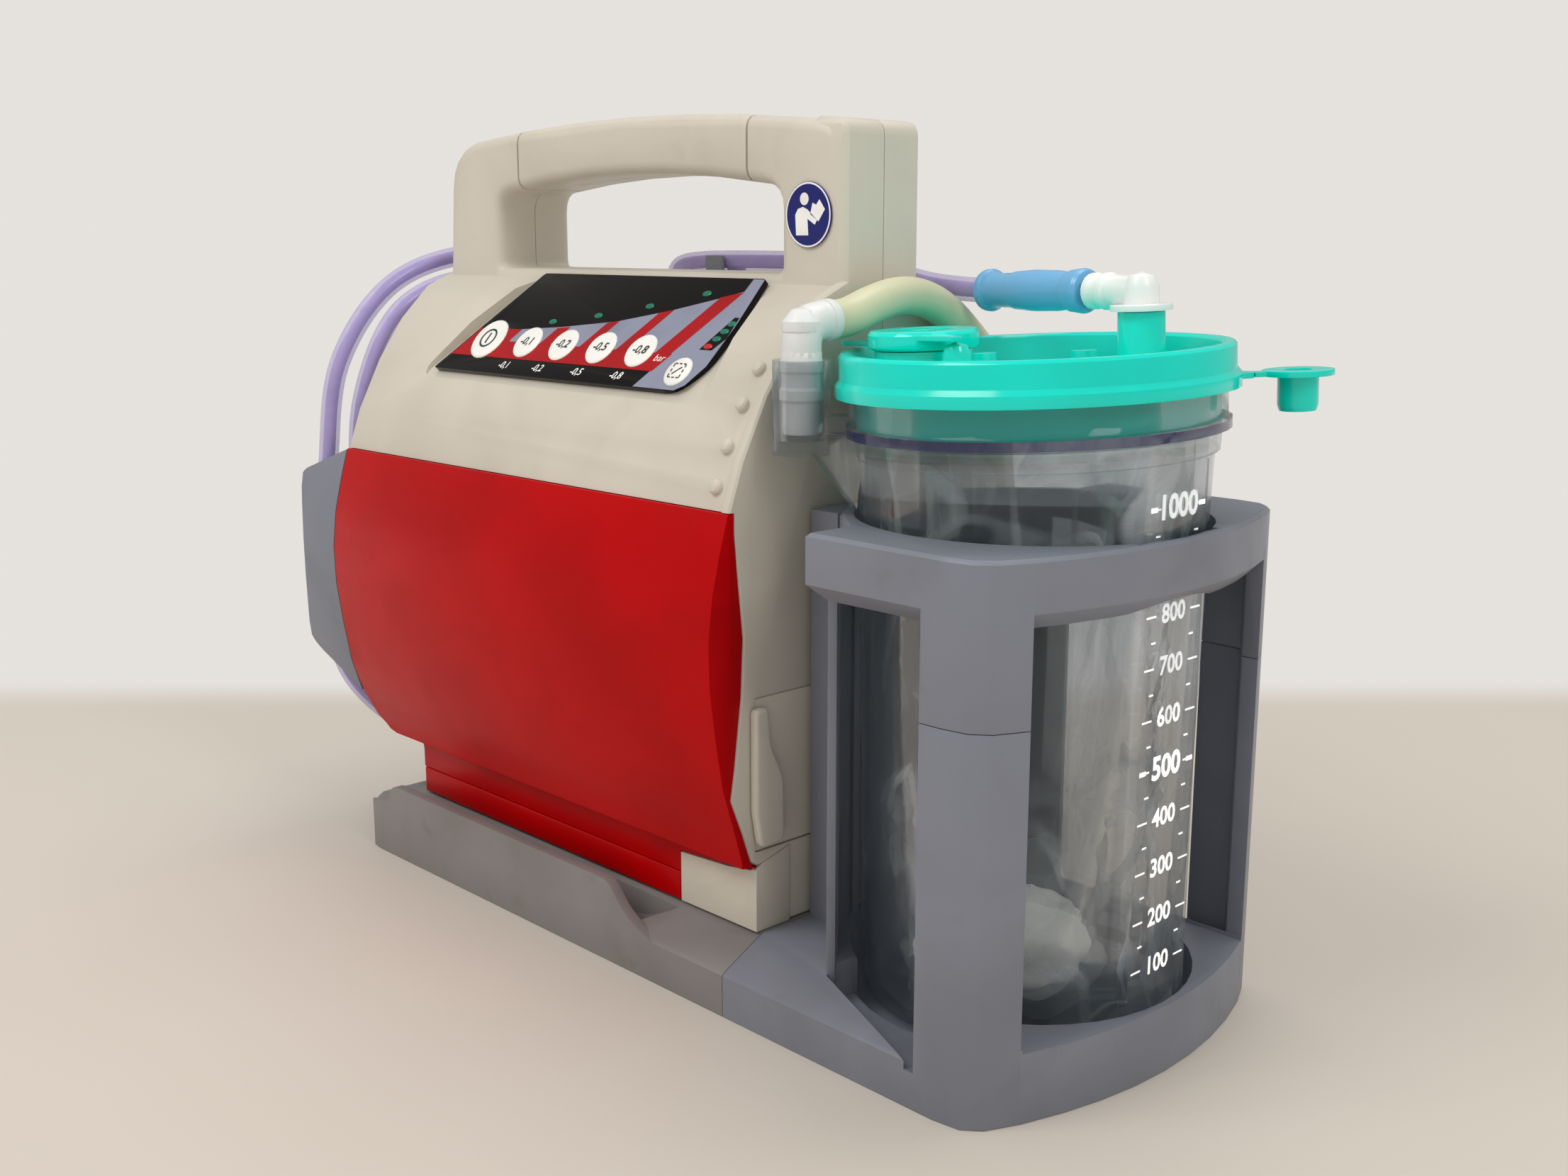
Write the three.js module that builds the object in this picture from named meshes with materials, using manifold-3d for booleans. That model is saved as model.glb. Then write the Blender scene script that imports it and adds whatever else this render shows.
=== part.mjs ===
// Portable suction pump with a canister holder. Millimetres, +Z up, front toward -Y, canister end toward +X.
import * as THREE from "three";
import { mergeVertices } from "three/addons/utils/BufferGeometryUtils.js";
import Module from "manifold-3d";

const wasm = await Module();
wasm.setup();

// ---- driving dimensions ----
const GAP = 0.3; // between pieces that touch
const BASE_LEFT = -181; // left end of the base tray
const BASE_RIGHT = 181; // middle of the bowed end of the canister holder
const BASE_HALF = 77; // half depth of the base
const BASE_RIM = 15.7; // height of the base's vertical edge
const DECK = 25; // height of the deck the pump stands on
const DECK_HALF = 58; // half depth of the deck
const SEAM_X = 55.3; // tray on the left, canister holder on the right
const CASE_LEFT = -188;
const CASE_RIGHT = 54;
const CASE_BOTTOM = DECK + GAP;
const SKIN = 3.2; // casing wall
const HANDLE_HALF = 19;
const SHOULDER = 247; // bottom of the hand opening
const GRIP_UNDER = 278; // underside of the grip at the posts
const GRIP_TOP = 299; // top of the grip over the posts
const GRIP_RISE = 5; // arch of the grip at mid length
const COVER_TOP = 172;
const COVER_LIP = 49.5;
const GUIDE_OUT = -225; // outer wall of the hose guide
const CAN_X = 121; // canister axis
const CAN_R = 55.9; // canister outside radius at the ring
const CAN_BOTTOM_R = 53.4;
const CAN_WALL = 1.8;
const CAN_FLOOR = 8.5;
const LID_R = 63.8; // lid flange
const LID_Z = 212.5; // underside of the lid flange
const LID_LEAN = 2.5; // degrees the snap-on lid sits off level
const RING_BOTTOM = 151;
const RING_TOP = 172;
const COLUMN_SEAM = 122;
const TUBE_R = 4.3;
const HOSE_R = 6.3;
const KEY_R = 7.4;
const PORT = [61, 52.5, 203]; // centre of the vacuum inlet elbow on the end face
const PORT_WAY = [0, -0.5, 1]; // the way its spigot points

const DEG = Math.PI / 180;

// ---- shape helpers ----
/** A THREE.Shape through [x, y] or [x, y, r] corners; r rounds the corner. */
function outline(points, holes = []) {
  const shape = new THREE.Shape();
  const n = points.length;
  const at = (i) => new THREE.Vector2(points[(i + n) % n][0], points[(i + n) % n][1]);
  for (let i = 0; i < n; i++) {
    const p = at(i);
    const r = points[i][2] ?? 0;
    if (r > 0) {
      const a = at(i - 1).sub(p).setLength(r).add(p);
      const b = at(i + 1).sub(p).setLength(r).add(p);
      i === 0 ? shape.moveTo(a.x, a.y) : shape.lineTo(a.x, a.y);
      shape.quadraticCurveTo(p.x, p.y, b.x, b.y);
    } else i === 0 ? shape.moveTo(p.x, p.y) : shape.lineTo(p.x, p.y);
  }
  shape.closePath();
  holes.forEach((h) => shape.holes.push(h));
  return shape;
}

/** Moves every corner of a closed polygon inwards by d. */
function inset(points, d) {
  const n = points.length;
  const area = points.reduce((s, p, i) => {
    const q = points[(i + 1) % n];
    return s + p[0] * q[1] - q[0] * p[1];
  }, 0);
  const turn = Math.sign(area);
  return points.map((p, i) => {
    const a = points[(i + n - 1) % n];
    const b = points[(i + 1) % n];
    const u = new THREE.Vector2(p[0] - a[0], p[1] - a[1]).normalize();
    const v = new THREE.Vector2(b[0] - p[0], b[1] - p[1]).normalize();
    const m = new THREE.Vector2(-u.y - v.y, u.x + v.x).normalize();
    const k = Math.min(2.5, 1 / Math.max(0.2, m.dot(new THREE.Vector2(-u.y, u.x))));
    return [p[0] + m.x * d * k * turn, p[1] + m.y * d * k * turn];
  });
}

/** A geometry as a solid facing outwards. */
function solid(geometry) {
  const g = geometry.clone();
  g.deleteAttribute("normal");
  g.deleteAttribute("uv");
  const m = mergeVertices(g, 1e-4);
  const triVerts = new Uint32Array(m.index.array);
  const vertProperties = m.attributes.position.array;
  const made = new wasm.Manifold(new wasm.Mesh({ numProp: 3, vertProperties, triVerts }));
  if (made.volume() >= 0) return made;
  for (let i = 0; i < triVerts.length; i += 3) {
    [triVerts[i], triVerts[i + 1]] = [triVerts[i + 1], triVerts[i]];
  }
  return new wasm.Manifold(new wasm.Mesh({ numProp: 3, vertProperties, triVerts }));
}

const AXES = {
  x: new THREE.Matrix4().set(0, 0, 1, 0, 1, 0, 0, 0, 0, 1, 0, 0, 0, 0, 0, 1),
  y: new THREE.Matrix4().set(1, 0, 0, 0, 0, 0, -1, 0, 0, 1, 0, 0, 0, 0, 0, 1),
  z: new THREE.Matrix4(),
};

/** A shape pushed along an axis: (y, z) along x, (x, z) along y, (x, y) along z. */
function prism(points, axis, from, to, { bevel = 0, steps = 4, rings = 1 } = {}) {
  const shape = points instanceof THREE.Shape ? points : outline(points);
  const g = new THREE.ExtrudeGeometry(shape, {
    depth: to - from - 2 * bevel,
    bevelEnabled: bevel > 0,
    bevelThickness: bevel,
    bevelSize: bevel,
    bevelOffset: -bevel,
    bevelSegments: rings,
    curveSegments: steps,
  });
  g.translate(0, 0, bevel + (axis === "y" ? -to : from));
  g.applyMatrix4(AXES[axis]);
  return solid(g);
}

/** A block between two corners. */
function block(x0, x1, y0, y1, z0, z1) {
  const g = new THREE.BoxGeometry(x1 - x0, y1 - y0, z1 - z0);
  return solid(g.translate((x0 + x1) / 2, (y0 + y1) / 2, (z0 + z1) / 2));
}

/** [r, z] turned round the Z axis; a profile that leaves the axis closes on itself. */
function turned(profile, sides = 32) {
  const points = profile.map(([r, z]) => new THREE.Vector2(r, z));
  if (profile[0][0] > 0) points.push(points[0].clone());
  return solid(new THREE.LatheGeometry(points, sides).rotateX(Math.PI / 2));
}

/** A round bar of radius r from z0 to z1 on the Z axis. */
const bar = (r, z0, z1, sides = 24) => turned([[0, z0], [r, z0], [r, z1], [0, z1]], sides);

/** A round tube or rod along a list of points. */
function along(points, r, { sides = 10, steps = 30 } = {}) {
  const path = new THREE.CatmullRomCurve3(points.map((p) => new THREE.Vector3(...p)), false, "centripetal");
  const ring = [...Array(sides)].map((_, i) => {
    const a = (i / sides) * 2 * Math.PI;
    return [r * Math.cos(a), r * Math.sin(a)];
  });
  const g = new THREE.ExtrudeGeometry(outline(ring), { extrudePath: path, steps, bevelEnabled: false });
  return solid(g);
}

const join = (...solids) => solids.reduce((a, b) => a.add(b));
const cut = (from, ...tools) => tools.reduce((a, b) => a.subtract(b), from);
const put = (s, x, y, z) => s.translate([x, y, z]);

/** Turns a solid that stands on the Z axis so that it points along a direction, from a point. */
function aim(s, direction, [x, y, z]) {
  const q = new THREE.Quaternion().setFromUnitVectors(
    new THREE.Vector3(0, 0, 1),
    new THREE.Vector3(...direction).normalize(),
  );
  const m = new THREE.Matrix4().makeRotationFromQuaternion(q).setPosition(x, y, z);
  return s.transform(m.elements);
}

const root = new THREE.Group();
root.name = "suction_pump";

/** Adds one named piece to the assembly. */
function piece(name, s, color, roughness = 0.5, metalness = 0) {
  const made = s.getMesh();
  const g = new THREE.BufferGeometry();
  g.setAttribute("position", new THREE.BufferAttribute(new Float32Array(made.vertProperties), 3));
  g.setIndex([...made.triVerts]);
  g.computeVertexNormals();
  const mesh = new THREE.Mesh(g, new THREE.MeshStandardMaterial({ color, roughness, metalness }));
  mesh.name = name;
  root.add(mesh);
}

// ---- colours ----
const SHELL = 0xcbc4b6;
const RED = 0xb0000a;
const HOLDER_GREY = 0x80848f;
const TRAY_GREY = 0x8c8886;
const TURQUOISE = 0x00d2be;
const CLEAR = 0xdfe6ea;
const RUBBER = 0x3a3a3c;
const STEEL = 0xb8bcc0;

// ---- plan and section outlines shared by the base pieces ----
const bowX = (y, d) => BASE_RIGHT - d - 18 * (y / BASE_HALF) ** 2;

/** Plan outline from a left x to the bowed end, d inside the outer edge. */
function endPlan(left, d = 0) {
  const half = BASE_HALF - d;
  const bow = [-60, -45, -30, -15, 0, 15, 30, 45, 60].map((y) => [bowX(y, d), y]);
  return [
    [left, -half],
    [150 - d, -half],
    [159.5 - d, -half + 1.4],
    [165 - d, -half + 6],
    ...bow,
    [165 - d, half - 6],
    [159.5 - d, half - 1.4],
    [150 - d, half],
    [left, half],
  ];
}

const baseSection = [
  [-BASE_HALF, 0],
  [BASE_HALF, 0],
  [BASE_HALF, BASE_RIM - 1],
  [BASE_HALF - 1, BASE_RIM],
  [DECK_HALF, DECK],
  [-DECK_HALF, DECK],
  [-BASE_HALF + 1, BASE_RIM],
  [-BASE_HALF, BASE_RIM - 1],
];

// ---- base tray ----
const PLINTH_Y = -60.2;
const PLINTH_LEFT = -157;
const LIP_LEFT = -156;
const LIP_RIGHT = -7;
const LIP_TOP = 31.2;
{
  const right = SEAM_X - GAP / 2;
  const plan = [
    [BASE_LEFT, -BASE_HALF, 13],
    [right, -BASE_HALF],
    [right, BASE_HALF],
    [BASE_LEFT, BASE_HALF, 13],
  ];
  let tray = prism(baseSection, "x", BASE_LEFT, right);
  const leftTop = [
    [BASE_LEFT - 1, 0],
    [right, 0],
    [right, 60],
    [-150, 60],
    [-158, DECK - 1],
    [BASE_LEFT - 1, 20],
  ];
  tray = tray.intersect(prism(leftTop, "y", -BASE_HALF, BASE_HALF));
  const lip = [
    [BASE_LEFT, 4],
    [BASE_LEFT, 19, 3],
    [LIP_LEFT - 4, 23, 3],
    [LIP_LEFT, LIP_TOP, 4],
    [LIP_RIGHT, LIP_TOP, 4],
    [LIP_RIGHT + 8, 22, 5],
    [LIP_RIGHT + 19, 16.5, 6],
    [LIP_RIGHT + 26, BASE_RIM - 1],
    [LIP_RIGHT + 26, 4],
  ];
  tray = tray.add(prism(lip, "y", -BASE_HALF, -BASE_HALF + 4));
  // the trough behind the lip ends in a rounded scallop under the pump's corner
  const trough = [
    [BASE_LEFT + 6, 60],
    [BASE_LEFT + 6, 19, 8],
    [LIP_LEFT, 13, 8],
    [LIP_RIGHT + 2, 13, 10],
    [LIP_RIGHT + 24, 24, 4],
    [LIP_RIGHT + 26, 60],
  ];
  tray = tray.subtract(prism(trough, "y", -BASE_HALF + 4, PLINTH_Y - 1.2));
  tray = tray.intersect(prism(plan, "z", -1, 80));
  // underside: hollow between walls, with four bosses left for the feet
  const hollow = block(BASE_LEFT + 14, right - 4, -DECK_HALF + 4, DECK_HALF - 4, -1, DECK - 5);
  const feet = [];
  for (const x of [BASE_LEFT + 24, right - 16]) {
    for (const y of [-DECK_HALF + 8, DECK_HALF - 8]) feet.push([x, y]);
  }
  tray = tray.subtract(hollow);
  for (const [x, y] of feet) tray = tray.add(put(bar(9.5, 0, DECK - 4, 20), x, y, 0));
  tray = tray.add(block(-9, 9, -DECK_HALF + 2, DECK_HALF - 2, 0, DECK - 4)); // cross rib
  feet.forEach(([x, y], i) => {
    tray = tray.subtract(put(bar(6.5 + GAP, -1, 2.5 + GAP, 20), x, y, 0));
    piece(`rubber_foot_${i + 1}`, put(bar(6.5, 0, 2.5, 20), x, y, 0), RUBBER, 0.9);
  });
  // two tongues that dock the canister holder
  for (const y of [-30, 30]) {
    tray = tray.add(block(right - 6, right + 12, y - 9, y + 9, DECK - 10, DECK - 5));
  }
  piece("base_tray", tray, TRAY_GREY, 0.6);
}

// ---- canister holder ----
const WALL_OUT = 65.2;
const WALL_IN = 62.4;
const WELL_R = 57.6;
const columnPlan = (side, d) =>
  [
    [142, -BASE_HALF + d],
    [150 - d, -BASE_HALF + d],
    [159.5 - d, -BASE_HALF + 1.4 + d],
    [165 - d, -BASE_HALF + 6 + d],
    [bowX(-60, d) - 0.2, -60.5],
    [164 - d, -60.5],
    [158, -69],
    [142, -70],
  ].map(([x, y]) => [x, y * side]);
const gateCut = [
  [91, -63],
  [141.6, -BASE_HALF - 1],
  [142, -BASE_HALF - 1],
  [142, -50],
  [91, -50],
];
{
  const left = SEAM_X + GAP / 2;
  let frame = prism(baseSection, "x", left, BASE_RIGHT).intersect(prism(endPlan(left), "z", -1, 80));
  frame = frame.subtract(put(bar(WELL_R, 7, 80, 40), CAN_X, 0, 0));
  // the well opens toward the side windows
  for (const side of [1, -1]) {
    frame = frame.subtract(prism(gateCut.map(([x, y]) => [x, y * side]), "z", 12, 40));
  }
  frame = frame.subtract(block(142, 190, -60, 60, 22.5, 40));
  // curved wall that hugs the canister, with a flat back toward the pump
  const wall = [];
  for (let a = 126; a <= 234; a += 9) wall.push([CAN_X + WALL_OUT * Math.cos(a * DEG), WALL_OUT * Math.sin(a * DEG)]);
  wall.push([90.5, -62.5], [92.5, -60.5]);
  for (let a = 234; a >= 126; a -= 9) wall.push([CAN_X + WALL_IN * Math.cos(a * DEG), WALL_IN * Math.sin(a * DEG)]);
  wall.push([92.5, 60.5], [90.5, 62.5]);
  frame = frame.add(prism(wall, "z", 18, RING_BOTTOM - GAP));
  const back = cut(block(left, 68, -35.5, 35.5, DECK - 2, RING_TOP - 2), put(bar(WALL_IN, 0, 300, 48), CAN_X, 0, 0));
  frame = frame.add(back);
  // ribs down the inside of the wall
  for (const y of [-22, -8, 8, 22]) {
    const x = CAN_X - Math.sqrt(WALL_IN ** 2 - y * y);
    frame = frame.add(block(x - 1.5, x + 2.2, y - 1.5, y + 1.5, 10, 140));
  }
  for (const side of [1, -1]) frame = frame.add(prism(columnPlan(side, 0), "z", 8, COLUMN_SEAM));
  // underside hollow and sockets for the tray's tongues
  frame = frame.subtract(block(left + 6, 150, -52, 52, -1, 4));
  for (const y of [-30, 30]) {
    frame = frame.subtract(block(left - 1, left + 13, y - 9 - GAP, y + 9 + GAP, DECK - 10 - GAP, DECK - 5 + GAP));
  }
  piece("holder_frame", frame, HOLDER_GREY, 0.5);

  // upper ring with a chamfered underside and two legs on the corner columns
  const RING_LEFT = 95;
  const hug = WALL_IN - GAP;
  const ringPlan = (d) => {
    const arc = [];
    for (let a = 126; a <= 234; a += 12) arc.push([CAN_X + (hug - d) * Math.cos(a * DEG), (hug - d) * Math.sin(a * DEG)]);
    return [...endPlan(RING_LEFT + d, d), [RING_LEFT + d, 58.5 - d], ...arc, [RING_LEFT + d, -58.5 + d]];
  };
  let ring = prism(ringPlan(0), "z", RING_BOTTOM + 5, RING_TOP, { bevel: 1.2 });
  ring = ring.add(prism(ringPlan(0), "z", RING_BOTTOM, RING_TOP - 6, { bevel: 5 }));
  for (const side of [1, -1]) {
    ring = ring.add(prism(columnPlan(side, 0), "z", COLUMN_SEAM + GAP, RING_BOTTOM + 8));
  }
  ring = ring.subtract(put(bar(WELL_R, 100, 200, 48), CAN_X, 0, 0));
  // notch for the graduated strip and a finger notch behind it
  ring = ring.subtract(block(160, 177, -21, 21, 164, 180));
  piece("holder_ring", ring, HOLDER_GREY, 0.5);
}

// ---- pump casing ----
const frontLine = [
  [0, 248.7],
  [-15, 246.4],
  [-29.4, 240],
  [-43, 226.5],
  [-55, 209.3],
  [-65.5, 189],
  [-71.6, COVER_TOP],
  [-67.4, 150],
  [-65.3, 130],
  [-66.3, 110],
  [-69.5, 85],
  [-71.2, 75],
  [-66, 62],
  [-62.2, 51],
  [-57, 47],
  [-57, CASE_BOTTOM],
];
const rearLine = [
  [58, CASE_BOTTOM],
  [63, 44],
  [70.5, 68],
  [75.5, 98],
  [77.5, 130],
  [76.5, 160],
  [73, 187],
  [66.5, 208],
  [57, 223.5],
  [43, 234.5],
  [28, 241],
  [15, 246.4],
];
const casePlan = [...frontLine, ...rearLine];
const caseOutline = (d) => [
  [CASE_LEFT + d, 300],
  [CASE_LEFT + d, 50 + d, 26],
  [-156 + d, 48 + d, 5],
  [-156 + d, CASE_BOTTOM - 1 + d],
  [CASE_RIGHT - d, CASE_BOTTOM - 1 + d],
  [CASE_RIGHT - d, 300],
];

// the sloping facet that carries the control panel: u along x, v up the slope
const SLOPE_FOOT = [-56, 207.5];
const SLOPE_HEAD = [-22, 245.5];
const slope = new THREE.Vector2(SLOPE_HEAD[0] - SLOPE_FOOT[0], SLOPE_HEAD[1] - SLOPE_FOOT[1]).normalize();
const slopeNormal = [0, -slope.y, slope.x];
/** Puts a solid drawn with u, v in the plane and height along Z onto the sloping facet. */
function onSlope(s) {
  const m = new THREE.Matrix4().set(
    1, 0, 0, 0,
    0, slope.x, -slope.y, SLOPE_FOOT[0],
    0, slope.y, slope.x, SLOPE_FOOT[1],
    0, 0, 0, 1,
  );
  return s.transform(m.elements);
}

const skirt = join(
  prism([[14.7, CASE_BOTTOM], [CASE_RIGHT + 0.6, CASE_BOTTOM], [CASE_RIGHT + 0.6, 47.5], [40, 45.4], [14.7, 43.8]],
    "y", -60.4, -57.4),
  prism([[-60.4, CASE_BOTTOM], [-60.4, 47.5], [-57, 49.5], [-44.6, 53], [-44.6, CASE_BOTTOM]],
    "x", CASE_RIGHT - 2, CASE_RIGHT + 0.6),
);

{
  let shell = prism(inset(casePlan, 1), "x", CASE_LEFT, 51);
  shell = shell.add(prism(casePlan, "x", 49.8, CASE_RIGHT, { bevel: 0.8 }));
  shell = shell.intersect(prism(caseOutline(0), "y", -100, 100));

  // integral arched handle
  const arch = (z) => [-1, -0.66, -0.33, 0, 0.33, 0.66, 1].map((t) => [t, z + GRIP_RISE * (1 - t * t)]);
  const outer = arch(GRIP_TOP).map(([t, z]) => [-64 + 100 * t, z]);
  const inner = arch(GRIP_UNDER).map(([t, z]) => [-63 + 75 * t, z]).reverse();
  const opening = outline([
    [-148, SHOULDER + 0.4, 3],
    [22, SHOULDER + 0.4, 3],
    [22, GRIP_UNDER - 1, 8],
    ...inner,
    [-148, GRIP_UNDER - 1, 8],
  ]);
  const loop = [
    [-187, 236],
    [CASE_RIGHT, 236],
    [CASE_RIGHT, GRIP_TOP - 1, 14],
    ...outer.slice().reverse(),
    [-182, GRIP_TOP - 4, 15],
  ];
  const handle = prism(outline(loop, [opening]), "y", -HANDLE_HALF, HANDLE_HALF, { bevel: 4.5, rings: 3, steps: 4 });
  const crown = [
    [-HANDLE_HALF, 230],
    [HANDLE_HALF, 230],
    [HANDLE_HALF, 305, 15],
    [-HANDLE_HALF, 305, 15],
  ];
  const post = prism([[24, 236], [CASE_RIGHT, 236], [CASE_RIGHT, 298, 5], [40, 299.5], [24, 286, 6]], "y", -19, 19, { bevel: 2.2 });
  shell = join(shell, handle, post.intersect(prism(crown, "x", 0, 60)));
  // hand opening cut clean through the shoulder
  shell = shell.subtract(prism(outline([[-147, SHOULDER, 4], [21, SHOULDER, 4], [21, 262], [-147, 262]]), "y", -30, 30));

  // ledge for the cover's top edge
  shell = shell.subtract(
    prism([[-90, COVER_TOP + GAP], [-68.9, COVER_TOP + GAP], [-68.9, 165], [-67.4, 150], [-90, 150]], "x", -200, 60),
  );

  // facet for the panel
  const facet = [[-152, -3, 8], [24, -3, 6], [24, 70], [-104, 70]];
  shell = shell.subtract(onSlope(prism(facet, "z", -2 - GAP, 30)));

  // grip seam: a shallow groove round the grip
  for (const x of [-132, 6]) {
    const ringCut = cut(block(x - 0.5, x + 0.5, -30, 30, 270, 310), block(x - 1, x + 1, -17.6, 17.6, 281.5, 298.3));
    shell = shell.subtract(ringCut);
  }

  // hollow inside
  const filled = shell;
  const room = prism(inset(casePlan, SKIN + 1), "x", CASE_LEFT + SKIN, CASE_RIGHT - SKIN)
    .intersect(prism(caseOutline(SKIN), "y", -100, 100));
  const underPanel = onSlope(prism([[-190, -40], [60, -40], [60, 80], [-190, 80]], "z", -5.6, 60));
  shell = shell.subtract(room.subtract(underPanel));

  // service door in the end face, skirt recess, inlet hole, charging socket hole
  shell = shell.subtract(block(50, 60, -60 - GAP, 60 + GAP, 54, 108.6));
  shell = cut(
    shell,
    prism([[14.4, 20], [60, 20], [60, 48], [40, 45.7], [14.4, 44.1]], "y", -70, -57.1),
    prism([[-70, 20], [-70, 47.8], [-57, 49.8], [-44.3, 53.3], [-44.3, 20]], "x", CASE_RIGHT - 2.3, 60),
  );
  shell = cut(shell, aim(bar(7.3, -8, 8, 20), [1, 0, 0], [CASE_RIGHT, PORT[1], PORT[2]]));
  shell = shell.subtract(block(-12, 12, 55, 90, 62, 82));
  // exhaust slots in the back
  for (let i = 0; i < 6; i++) shell = shell.subtract(block(-70 + i * 8, -66 + i * 8, 60, 90, 86, 112));
  // screw holes through the back
  const screws = [[-170, 150], [40, 150], [-170, 100], [40, 112]];
  for (const [x, z] of screws) {
    shell = shell.add(aim(bar(5, 4, 90, 12), [0, 1, 0], [x, 0, z]).intersect(filled));
    shell = shell.subtract(aim(bar(3.4, 70, 90, 12), [0, 1, 0], [x, 0, z]));
    shell = shell.subtract(aim(bar(1.8, -1, 80, 12), [0, 1, 0], [x, 0, z]));
  }
  screws.forEach(([x, z], i) => {
    const head = join(bar(3, 70.3, 73, 12), bar(1.4, 40, 71, 8));
    piece(`case_screw_${i + 1}`, aim(head, [0, 1, 0], [x, 0, z]), STEEL, 0.35, 0.9);
  });
  // dome bumps down the front corner
  const bump = turned([[0, -2], [2.6, -2], [2.6, 0], [1.9, 0.8], [0, 1.2]], 12);
  for (const [y, z, up] of [[-69.1, 180, 0.32], [-64.1, 193, 0.5], [-57.2, 206.3, 0.62], [-49.6, 217.6, 0.75]]) {
    shell = shell.add(aim(bump, [0, -1, up], [44.5, y, z]));
  }
  const half = (y0, y1) => shell.intersect(block(-300, 200, y0, y1, 0, 400));
  piece("front_casing", half(-200, -GAP / 2), SHELL, 0.45);
  piece("rear_casing", half(GAP / 2, 200), SHELL, 0.45);
  piece("skirt_corner", skirt, 0xdcdbd2, 0.45);
}

// ---- service door and its latch ----
{
  let door = block(CASE_RIGHT - SKIN, CASE_RIGHT - 0.2, -60, 60, 54.4, 108.3);
  door = door.subtract(block(CASE_RIGHT - 1.4, 60, -20, 20, 98, 100));
  piece("battery_door", door, SHELL, 0.45);
  const latch = [
    [-63.2, 105.5, 2],
    [-57.2, 105.5, 2],
    [-56, 92, 3],
    [-50.2, 80, 3],
    [-49.6, 57, 4],
    [-61, 56.5, 3],
    [-63.2, 70],
  ];
  piece("battery_latch", prism(latch, "x", CASE_RIGHT + GAP, CASE_RIGHT + 4, { bevel: 0.8 }), 0xd9d5c8, 0.4);
}

// ---- red front cover, plinth strip and hose guide ----
const coverFace = [
  [-71.9, COVER_TOP],
  [-75.6, 159],
  [-78.8, 146],
  [-80.6, 131],
  [-80.3, 115],
  [-78.2, 99],
  [-75, 80],
  [-69.4, 62],
  [-66.6, COVER_LIP + 3],
  [-66.2, COVER_LIP],
];
const coverBack = [...frontLine.slice(7, 14).map(([y, z]) => [y - GAP, z]).reverse(), [-69.2, 165], [-69.2, COVER_TOP]];
const sideOutline = [
  [-187.6, 300],
  [-187.6, 50, 26],
  [-156, 47.6, 4],
  [-156, 30],
  [CASE_RIGHT, 30],
  [CASE_RIGHT, 300],
];
{
  const outer = [...coverFace, [-60.4, COVER_LIP - 0.5], [-60.4, 36.4], [-57.4, 36.4], [-57.4, 47.2], ...coverBack];
  let cover = prism(outer, "x", -187.6, CASE_RIGHT).intersect(prism(sideOutline, "y", -100, -40));
  const room = [
    ...coverFace.slice(1, 8).map(([y, z]) => [y + 2.4, z]),
    ...coverBack.slice(2, 7).map(([y, z]) => [y + 8, z]),
  ];
  cover = cover.subtract(prism(room, "x", -160, CASE_RIGHT - 2.4));
  cover = cut(
    cover,
    prism([[14.4, 20], [60, 20], [60, 48.8], [40, 46], [14.4, 44.2]], "y", -62, -50),
    prism([[-70, 20], [-70, 48], [-60.7, 48], [-57, 49.8], [-50, 51.8], [-50, 20]], "x", CASE_RIGHT - 2.3, 60),
  );
  piece("front_cover", cover, RED, 0.3);

  const strip = block(PLINTH_LEFT + 1, 14.1, -60.4, -57.4, CASE_BOTTOM, 36.1);
  piece("plinth_strip", strip, HOLDER_GREY, 0.5);

  const guideFace = [...coverFace.map(([y, z]) => [y + 0.1, z]), [-16, COVER_LIP], [-16, COVER_TOP]];
  const side = [
    [CASE_LEFT - GAP, COVER_TOP - 0.5],
    [GUIDE_OUT + 4, 160, 4],
    [GUIDE_OUT, 148, 6],
    [GUIDE_OUT, 96, 6],
    [GUIDE_OUT + 5, 84, 4],
    [CASE_LEFT - GAP, 66],
  ];
  const planRound = [
    [CASE_LEFT - GAP, -82],
    [GUIDE_OUT + 13, -82],
    [GUIDE_OUT + 5, -77],
    [GUIDE_OUT + 0.8, -70],
    [GUIDE_OUT, -62],
    [GUIDE_OUT, -18, 6],
    [CASE_LEFT - GAP, -16],
  ];
  let guide = prism(guideFace, "x", GUIDE_OUT, CASE_LEFT - GAP).intersect(prism(side, "y", -100, 0));
  guide = guide.intersect(prism(planRound, "z", 40, 200));
  const channel = prism(guideFace.map(([y, z]) => [y + 3.4, z]), "x", GUIDE_OUT - 5, CASE_LEFT + 5)
    .intersect(prism([[GUIDE_OUT + 3, 0], [CASE_LEFT + 5, 0], [CASE_LEFT + 5, 300], [GUIDE_OUT + 3, 300]], "y", -90, -20));
  guide = guide.subtract(channel);
  // a web on the casing side ties the front and back walls together
  const web = block(CASE_LEFT - GAP - 2.6, CASE_LEFT - GAP, -70, -18, 96, 140);
  piece("hose_guide", guide.add(web), 0x8e9092, 0.55);
}

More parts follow.
